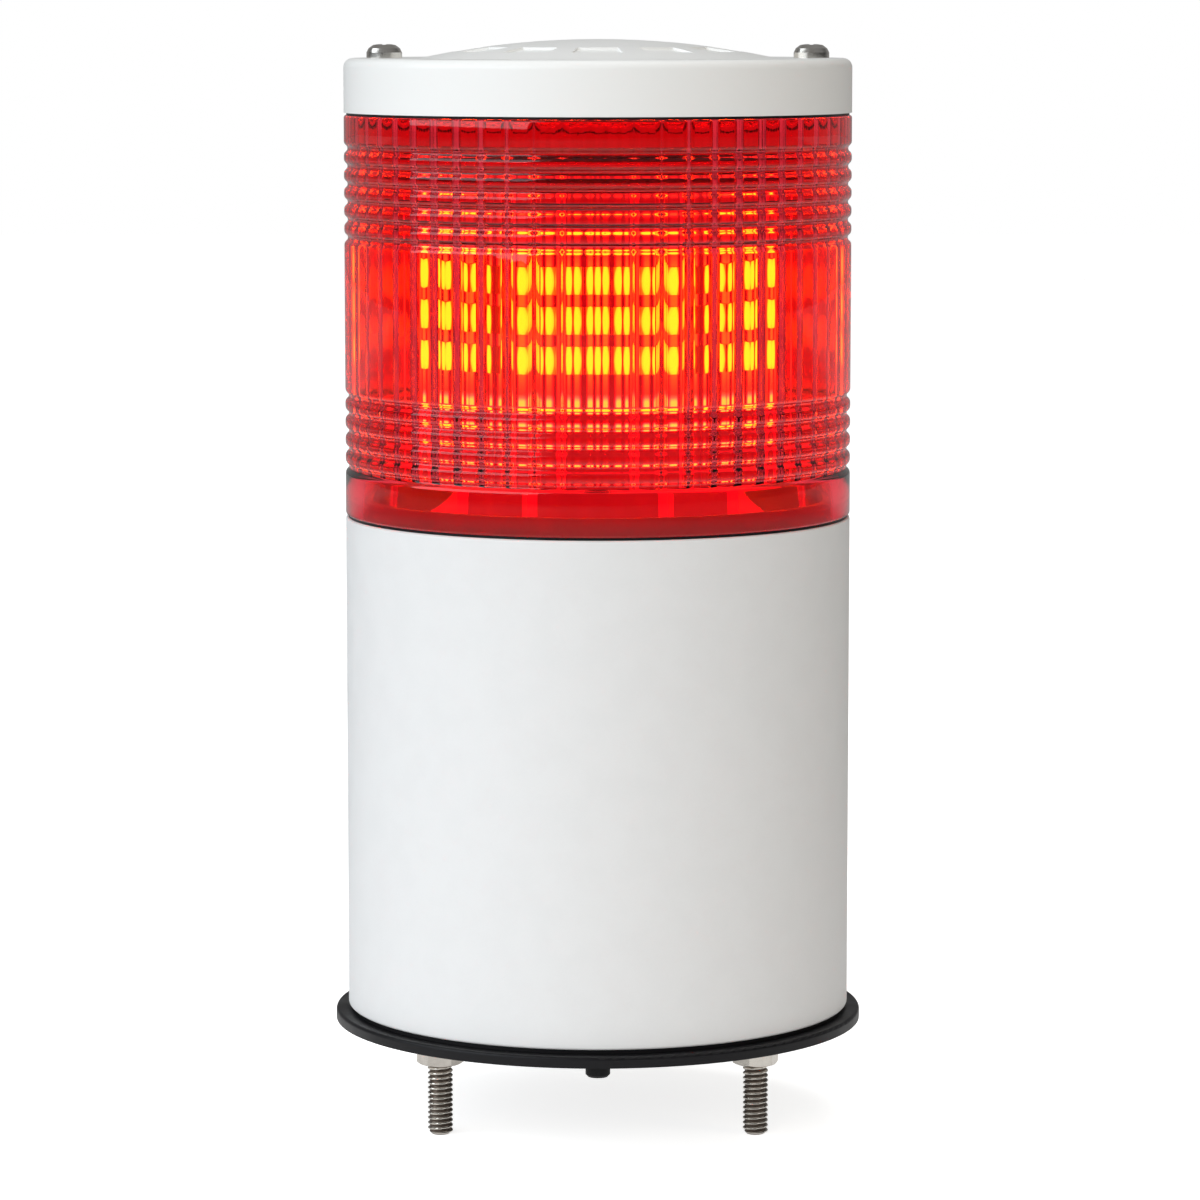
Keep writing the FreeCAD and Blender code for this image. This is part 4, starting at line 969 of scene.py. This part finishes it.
@dataclass
class RedLens:
    """One-piece clear red lens: rounded ring grooves outside, upright flutes inside."""

    radius: float = 50.0 * MM
    bore: float = 46.5 * MM
    flute_root: float = 47.6 * MM
    flutes: int = 56
    flute_foot: float = 8.5 * MM
    columns_per_flute: int = 8
    ring_pitch: float = 3.5 * MM
    ring_depth: float = 0.7 * MM
    ring_hollow: float = 0.8 * MM
    ring_lip: float = 1.0 * MM
    upper_rings: int = 6
    upper_ring_drop: float = 6.5 * MM
    lower_rings: int = 5
    lower_ring_rise: float = 9.5 * MM
    rim_round: float = 0.5 * MM
    rim_steps: int = 4
    lip_steps: int = 3
    hollow_steps: int = 8
    shelf_step: float = 0.01 * MM
    bore_band: float = 0.1 * MM

    def groove_heights(self, foot: float, top: float) -> list[float]:
        """Middle heights of the ring grooves, from the lowest up.

        Args:
            foot: height of the lens foot.
            top: height of the lens top.
        Returns:
            The heights.
        """
        lower = [foot + self.lower_ring_rise + self.ring_pitch * i for i in range(self.lower_rings)]
        upper = [top - self.upper_ring_drop - self.ring_pitch * i for i in range(self.upper_rings)]
        return lower + upper[::-1]

    def groove(self, middle: float) -> list[Span]:
        """One ring groove from below: rounded lip, round hollow, rounded lip.

        Args:
            middle: the groove's height.
        Returns:
            Radius and height pairs.
        """
        axis = self.radius - self.ring_depth + self.ring_hollow
        inset = axis - (self.radius - self.ring_lip)
        reach = self.ring_hollow + self.ring_lip
        spread = math.sqrt(reach * reach - inset * inset)
        opening = math.atan2(spread, inset)
        lower = []
        for step in range(self.lip_steps):
            turn = opening * step / self.lip_steps
            radius = self.radius - self.ring_lip * (1 - math.cos(turn))
            lower.append((radius, middle - spread + self.ring_lip * math.sin(turn)))
        hollow = []
        for step in range(self.hollow_steps + 1):
            turn = opening * (2 * step / self.hollow_steps - 1)
            height = middle + self.ring_hollow * math.sin(turn)
            hollow.append((axis - self.ring_hollow * math.cos(turn), height))
        upper = [(radius, 2 * middle - height) for radius, height in reversed(lower)]
        return lower + hollow + upper

    def profile(self, foot: float, top: float) -> list[Span]:
        """The closed section, outside from foot to top, then down the bore.

        Args:
            foot: height of the lens foot.
            top: height of the lens top.
        Returns:
            Radius and height pairs.
        """
        points = []
        turns = [math.radians(90 * step / self.rim_steps) for step in range(self.rim_steps + 1)]
        for turn in turns:
            radius = self.radius - self.rim_round * (1 - math.sin(turn))
            points.append((radius, foot + self.rim_round * (1 - math.cos(turn))))
        for middle in self.groove_heights(foot, top):
            points += self.groove(middle)
        for turn in turns:
            radius = self.radius - self.rim_round * (1 - math.cos(turn))
            points.append((radius, top - self.rim_round * (1 - math.sin(turn))))
        shelf = foot + self.flute_foot
        points += [(self.bore, height) for height in (top, shelf + self.shelf_step, shelf, foot)]
        return points

    def tree(self) -> Tree:
        """The shape tree: turn the section and press the flutes into the bore.

        Returns:
            The Geometry Nodes tree.
        """
        takes = {"Geometry": Channel.GEOMETRY, "Finish": Channel.MATERIAL}
        takes |= dict.fromkeys(("Flutes", "Columns"), Channel.COUNT)
        takes |= dict.fromkeys(("Bore", "Flute Depth", "Flute Foot"), Channel.VALUE)
        gives = {"Geometry": Channel.GEOMETRY}
        wire, take, give = open_group("fluted_lens", TreeKind.SHAPE, takes, gives)
        grid, angle, radius, height = turned_grid(wire, take["Geometry"], take["Columns"])
        turns = wire.times(wire.over(angle, math.tau), take["Flutes"])
        phase = wire.math("FRACT", wire.plus(turns, 0.5))
        wave = wire.math("COSINE", wire.times(phase, math.tau))
        rise = wire.math("MULTIPLY_ADD", wave, -0.5, 0.5)
        inside = wire.math("LESS_THAN", radius, wire.plus(take["Bore"], self.bore_band))
        shelf = wire.plus(take["Flute Foot"], self.shelf_step * 0.4)
        above = wire.math("GREATER_THAN", height, shelf)
        press = wire.times(wire.times(rise, take["Flute Depth"]), inside)
        fluted = wire.plus(radius, wire.times(press, above))
        shape = place_round(wire, grid, angle, fluted, height)
        finish_tree(wire, shape, take, give)
        return wire.tree

    def build(self, finishes: Finishes) -> bpy.types.Object:
        """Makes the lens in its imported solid's place.

        Args:
            finishes: the finishes.
        Returns:
            The lens.
        """
        low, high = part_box("lens")
        sizes = {
            "Flutes": self.flutes,
            "Columns": self.flutes * self.columns_per_flute,
            "Bore": self.bore,
            "Flute Depth": self.flute_root - self.bore,
            "Flute Foot": low.z + self.flute_foot,
            "Finish": finishes.get(Finishes.RED_LENS),
        }
        section = line_mesh("lens_section", self.profile(low.z, high.z))
        piece = run_tree("fluted_lens", section, self.tree(), sizes)
        face_out(piece)
        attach(piece, BODY)
        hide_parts("lens")
        return piece


# ---- threaded studs


@dataclass
class ThreadedStuds:
    """Three captive bolts with cut threads and hexagon heads; lengths in metres."""

    circle: float = 36.0 * MM
    count: int = 3
    crest: float = 2.5 * MM
    root: float = 2.08 * MM
    grip: float = 2.24 * MM
    pitch: float = 1.0 * MM
    free: float = 14.2 * MM
    sides: int = 36
    turn_rows: int = 8
    head_across: float = 8.0 * MM
    head_height: float = 3.5 * MM
    flank: Span = (0.12, 0.88)
    core: float = 1.0 * MM
    bevel: float = 0.6 * MM
    shoulder: float = 0.01 * MM
    head_from: float = 1.2

    def tree(self) -> Tree:
        """The shape tree: one threaded bolt, then one instance at each place.

        Returns:
            The Geometry Nodes tree.
        """
        takes = {"Geometry": Channel.GEOMETRY, "Finish": Channel.MATERIAL}
        takes |= dict.fromkeys(("Sides", "Count"), Channel.COUNT)
        takes |= dict.fromkeys(("Pitch", "Crest", "Cut", "Free Length", "Circle"), Channel.VALUE)
        gives = {"Geometry": Channel.GEOMETRY}
        wire, take, give = open_group("threaded_studs", TreeKind.SHAPE, takes, gives)
        grid, angle, radius, height = turned_grid(wire, take["Geometry"], take["Sides"])
        rows = wire.over(height, take["Pitch"])
        climb = wire.minus(rows, wire.over(angle, math.tau))
        swing = wire.math("ABSOLUTE", wire.math("MULTIPLY_ADD", wire.math("FRACT", climb), 2.0, -1.0))
        free = wire.math("LESS_THAN", height, take["Free Length"])
        skin = wire.math("GREATER_THAN", radius, self.core)
        deep = wire.times(wire.ease(swing, self.flank), wire.times(free, skin))
        bite = wire.times(deep, take["Cut"])
        # The thread's depth is stored for the finish, which paints shade into the roots.
        feeds = {"Geometry": grid, "Value": deep, "Name": RolledThread.attribute}
        mark = wire.node("GeometryNodeStoreNamedAttribute", feeds, data_type="FLOAT", domain="POINT")
        half = math.radians(30)
        sixth = wire.math("MODULO", wire.plus(angle, half), 2 * half)
        corner = wire.over(1.0, wire.math("COSINE", wire.minus(sixth, half)))
        head = wire.math("GREATER_THAN", radius, wire.times(take["Crest"], self.head_from))
        swell = wire.math("MULTIPLY_ADD", head, wire.minus(corner, 1.0), 1.0)
        cut = wire.times(wire.minus(radius, bite), swell)
        shape = place_round(wire, mark.outputs["Geometry"], angle, cut, height)
        feeds = {"Vertices": take["Count"], "Radius": take["Circle"]}
        ring = wire.node("GeometryNodeMeshCircle", feeds).outputs["Mesh"]
        feeds = {"Geometry": ring, "Rotation": (0.0, 0.0, math.radians(90))}
        turn = wire.node("GeometryNodeTransform", feeds)
        feeds = {"Points": turn.outputs["Geometry"], "Instance": shape}
        spread = wire.node("GeometryNodeInstanceOnPoints", feeds)
        finish_tree(wire, spread.outputs["Instances"], take, give)
        return wire.tree

    def profile(self, low: float, seat: float, high: float) -> list[Span]:
        """Half section of a bolt from tip to head.

        Args:
            low: height of the tip.
            seat: height of the head's seat.
            high: height of the head's top.
        Returns:
            Radius and height pairs, closed through the axis.
        """
        points = [(0.0, low), (self.crest - self.bevel, low), (self.crest, low + self.bevel)]
        length = self.free - self.bevel
        rows = int(length / self.pitch * self.turn_rows)
        for row in range(1, rows + 1):
            points.append((self.crest, low + self.bevel + length * row / rows))
        points += [(self.grip, self.free + self.shoulder), (self.grip, seat)]
        reach = self.head_across / 2
        points += [(reach, seat), (reach, high), (0.0, high)]
        return points

    def build(self, finishes: Finishes) -> bpy.types.Object:
        """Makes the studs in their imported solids' place.

        Args:
            finishes: the finishes.
        Returns:
            The studs.
        """
        low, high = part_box("mounting_bolts")
        seat = high.z - self.head_height
        sizes = {
            "Sides": self.sides,
            "Pitch": self.pitch,
            "Crest": self.crest,
            "Cut": self.crest - self.root,
            "Free Length": self.free,
            "Count": self.count,
            "Circle": self.circle,
            "Finish": finishes.get(Finishes.THREAD),
        }
        section = line_mesh("stud_section", self.profile(low.z, seat, high.z))
        piece = run_tree("threaded_studs", section, self.tree(), sizes)
        face_out(piece)
        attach(piece, BODY)
        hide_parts("mounting_bolts")
        return piece


# ---- studio


@dataclass(frozen=True)
class SoftBox:
    """A rectangular soft lamp, in metres and watts; gloss mirrors it only where seen says so."""

    name: str
    place: Triple
    size: Span
    power: float
    colour: Triple
    seen: bool = False

    def hang(self, target: Vector) -> None:
        """Hangs the lamp, hidden from clear plastic.

        Args:
            target: the point that it faces.
        """
        data = bpy.data.lights.new(self.name, "AREA")
        data.shape = "RECTANGLE"
        data.size, data.size_y = self.size
        data.energy = self.power
        data.color = self.colour
        lamp = add_object(self.name, data)
        lamp.visible_glossy = self.seen
        lamp.visible_transmission = False
        lamp.location = self.place
        lamp.rotation_euler = (target - Vector(self.place)).to_track_quat("-Z", "Y").to_euler()


@dataclass
class Studio:
    """Pale floor, backdrop, soft boxes and the camera.

    The backdrop and the floor are white to the camera. Gloss and clear plastic see them darker, so
    that the red lens isn't hazed with white; only the floor close to the object stays paler.
    """

    distance: float = 0.975
    elevation: float = 6.8
    target: float = 0.10425
    lens: float = 146.8
    shift: float = 0.0018
    floor_side: float = 8.0
    floor_tone: float = 0.9
    floor_glow: float = 0.76
    sweep_back: Span = (0.42, 0.9)
    sweep_near: Span = (0.9, 0.48)
    close: Span = (0.48, 0.24)
    close_glow: float = 0.45
    backdrop: Span = (0.10, 0.95)
    ceiling: Span = (0.20, 0.90)
    room_tone: float = 0.15
    room_glow: float = 0.03
    ceiling_glow: float = 0.8
    mirrored: float = 0.25
    seen_through: float = 0.75
    world_lamp: float = 0.25
    world_tone: Triple = (1.0, 0.985, 0.95)
    lamps: tuple[SoftBox, ...] = (
        SoftBox("key_box", (-1.67, -0.89, 1.05), (2.6, 1.5), 27.0, (0.87, 0.94, 1.0), seen=True),
        SoftBox("front_box", (-0.45, -2.2, 0.9), (1.4, 1.2), 17.5, (1.0, 0.98, 0.95)),
        SoftBox("fill_box", (1.9, -1.0, 0.8), (0.9, 1.2), 4.8, (1.0, 0.86, 0.66)),
        SoftBox("top_box", (0.1, 0.2, 1.9), (1.2, 1.2), 11.0, WHITE),
    )

    def build(self) -> None:
        """Makes floor, world, lamps and camera."""
        self.floor()
        self.world()
        for lamp in self.lamps:
            lamp.hang(self.aim())
        self.camera()

    def aim(self) -> Vector:
        """The point that the camera and the lamps face."""
        return Vector((0.0, 0.0, self.target))

    def floor(self) -> None:
        """A wide pale floor under the stud tips; its white sweep ends in front, where the room is dark."""
        half = self.floor_side / 2
        mesh = bpy.data.meshes.new("floor")
        corners = [(-half, -half, 0), (half, -half, 0), (half, half, 0), (-half, half, 0)]
        mesh.from_pydata(corners, [], [(0, 1, 2, 3)])
        material = bpy.data.materials.new("floor_paper")
        material.use_nodes = True
        wire = Wiring(material.node_tree)
        material.node_tree.nodes.clear()
        spot = wire.node("ShaderNodeTexCoord").outputs["Object"]
        away = wire.vector("LENGTH", spot).outputs["Value"]
        behind = wire.ease(wire.split(spot)["Y"], self.sweep_back)
        sweep = wire.math("MAXIMUM", behind, wire.ease(away, self.sweep_near))
        close = wire.ease(away, self.close, self.close_glow)
        gloss = wire.node("ShaderNodeLightPath").outputs["Is Glossy Ray"]
        share = wire.math("MAXIMUM", wire.remap(gloss, 1.0, self.mirrored), close)
        pale = wire.times(sweep, share)
        tone = wire.blend(pale, (self.room_tone,) * 3, (self.floor_tone,) * 3)
        paper = wire.node("ShaderNodeBsdfDiffuse", {"Color": tone})
        white = self.white_rays(wire, sweep, self.floor_glow, close)
        glow = wire.node("ShaderNodeEmission", {"Color": rgba(WHITE), "Strength": white})
        both = wire.node("ShaderNodeAddShader")
        wire.feed(both.inputs[0], paper.outputs[0])
        wire.feed(both.inputs[1], glow.outputs[0])
        wire.node("ShaderNodeOutputMaterial", {"Surface": both.outputs[0]})
        mesh.materials.append(material)
        floor = add_object("floor", mesh)

    def world(self) -> None:
        """White backdrop behind and beside the object, a dark room in front, softer as a lamp."""
        world = bpy.data.worlds.new("studio")
        bpy.context.scene.world = world
        world.use_nodes = True
        wire = Wiring(world.node_tree)
        way = wire.split(wire.node("ShaderNodeTexCoord").outputs["Generated"])
        ceiling = wire.ease(way["Z"], self.ceiling, self.ceiling_glow)
        around = wire.math("MAXIMUM", wire.ease(way["Y"], self.backdrop), ceiling)
        white = self.white_rays(wire, around, 1.0, 0.0)
        shine = world.node_tree.nodes["Background"]
        soft = wire.node("ShaderNodeLightPath").outputs["Is Diffuse Ray"]
        wire.feed(shine.inputs["Color"], wire.blend(soft, WHITE, self.world_tone))
        wire.feed(shine.inputs["Strength"], wire.math("MULTIPLY_ADD", soft, self.world_lamp, white))

    def white_rays(self, wire: Wiring, white: object, strength: float, close: object) -> Socket:
        """White for the camera everywhere, darker for gloss and clear plastic.

        Args:
            wire: the tree's wiring.
            white: 1 where the sweep or backdrop hangs and 0 where the room is dark.
            strength: how white the sweep is.
            close: the least that gloss sees of it, more than 0 only right beside the object.
        Returns:
            The strength to give off.
        """
        path = wire.node("ShaderNodeLightPath")
        gloss = wire.math("MAXIMUM", wire.remap(white, self.room_glow, strength * self.mirrored), close)
        mirrored = wire.times(path.outputs["Is Glossy Ray"], gloss)
        through = wire.times(path.outputs["Is Transmission Ray"], self.seen_through)
        direct = wire.times(path.outputs["Is Camera Ray"], wire.remap(white, 1.0, strength))
        return wire.math("MAXIMUM", direct, wire.math("MAXIMUM", mirrored, through))

    def camera(self) -> None:
        """The camera, a little above the cap's ledge."""
        data = bpy.data.cameras.new("camera")
        data.sensor_width = 36.0
        data.lens = self.lens
        data.shift_x = self.shift
        camera = add_object("camera", data)
        rise = math.radians(self.elevation)
        camera.location = self.aim() + Vector((0.0, -math.cos(rise), math.sin(rise))) * self.distance
        camera.rotation_euler = (self.aim() - camera.location).to_track_quat("-Z", "Y").to_euler()
        bpy.context.scene.camera = camera


def main() -> None:
    """Builds the pieces in order."""
    logging.basicConfig(level=logging.INFO, format="%(name)s: %(message)s")
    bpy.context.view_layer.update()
    scene = bpy.context.scene
    scene.view_settings.view_transform = "Standard"
    finishes = Finishes()
    log.info("dressed %d packed solids", finishes.dress_nodes(frame["nodes"]))
    for maker in (RedLens(), ThreadedStuds()):
        piece = maker.build(finishes)
        log.info("%s: %d faces", piece.name, len(piece.data.polygons))
    Studio().build()
    bpy.context.view_layer.update()


if __name__ == "__main__":
    main()
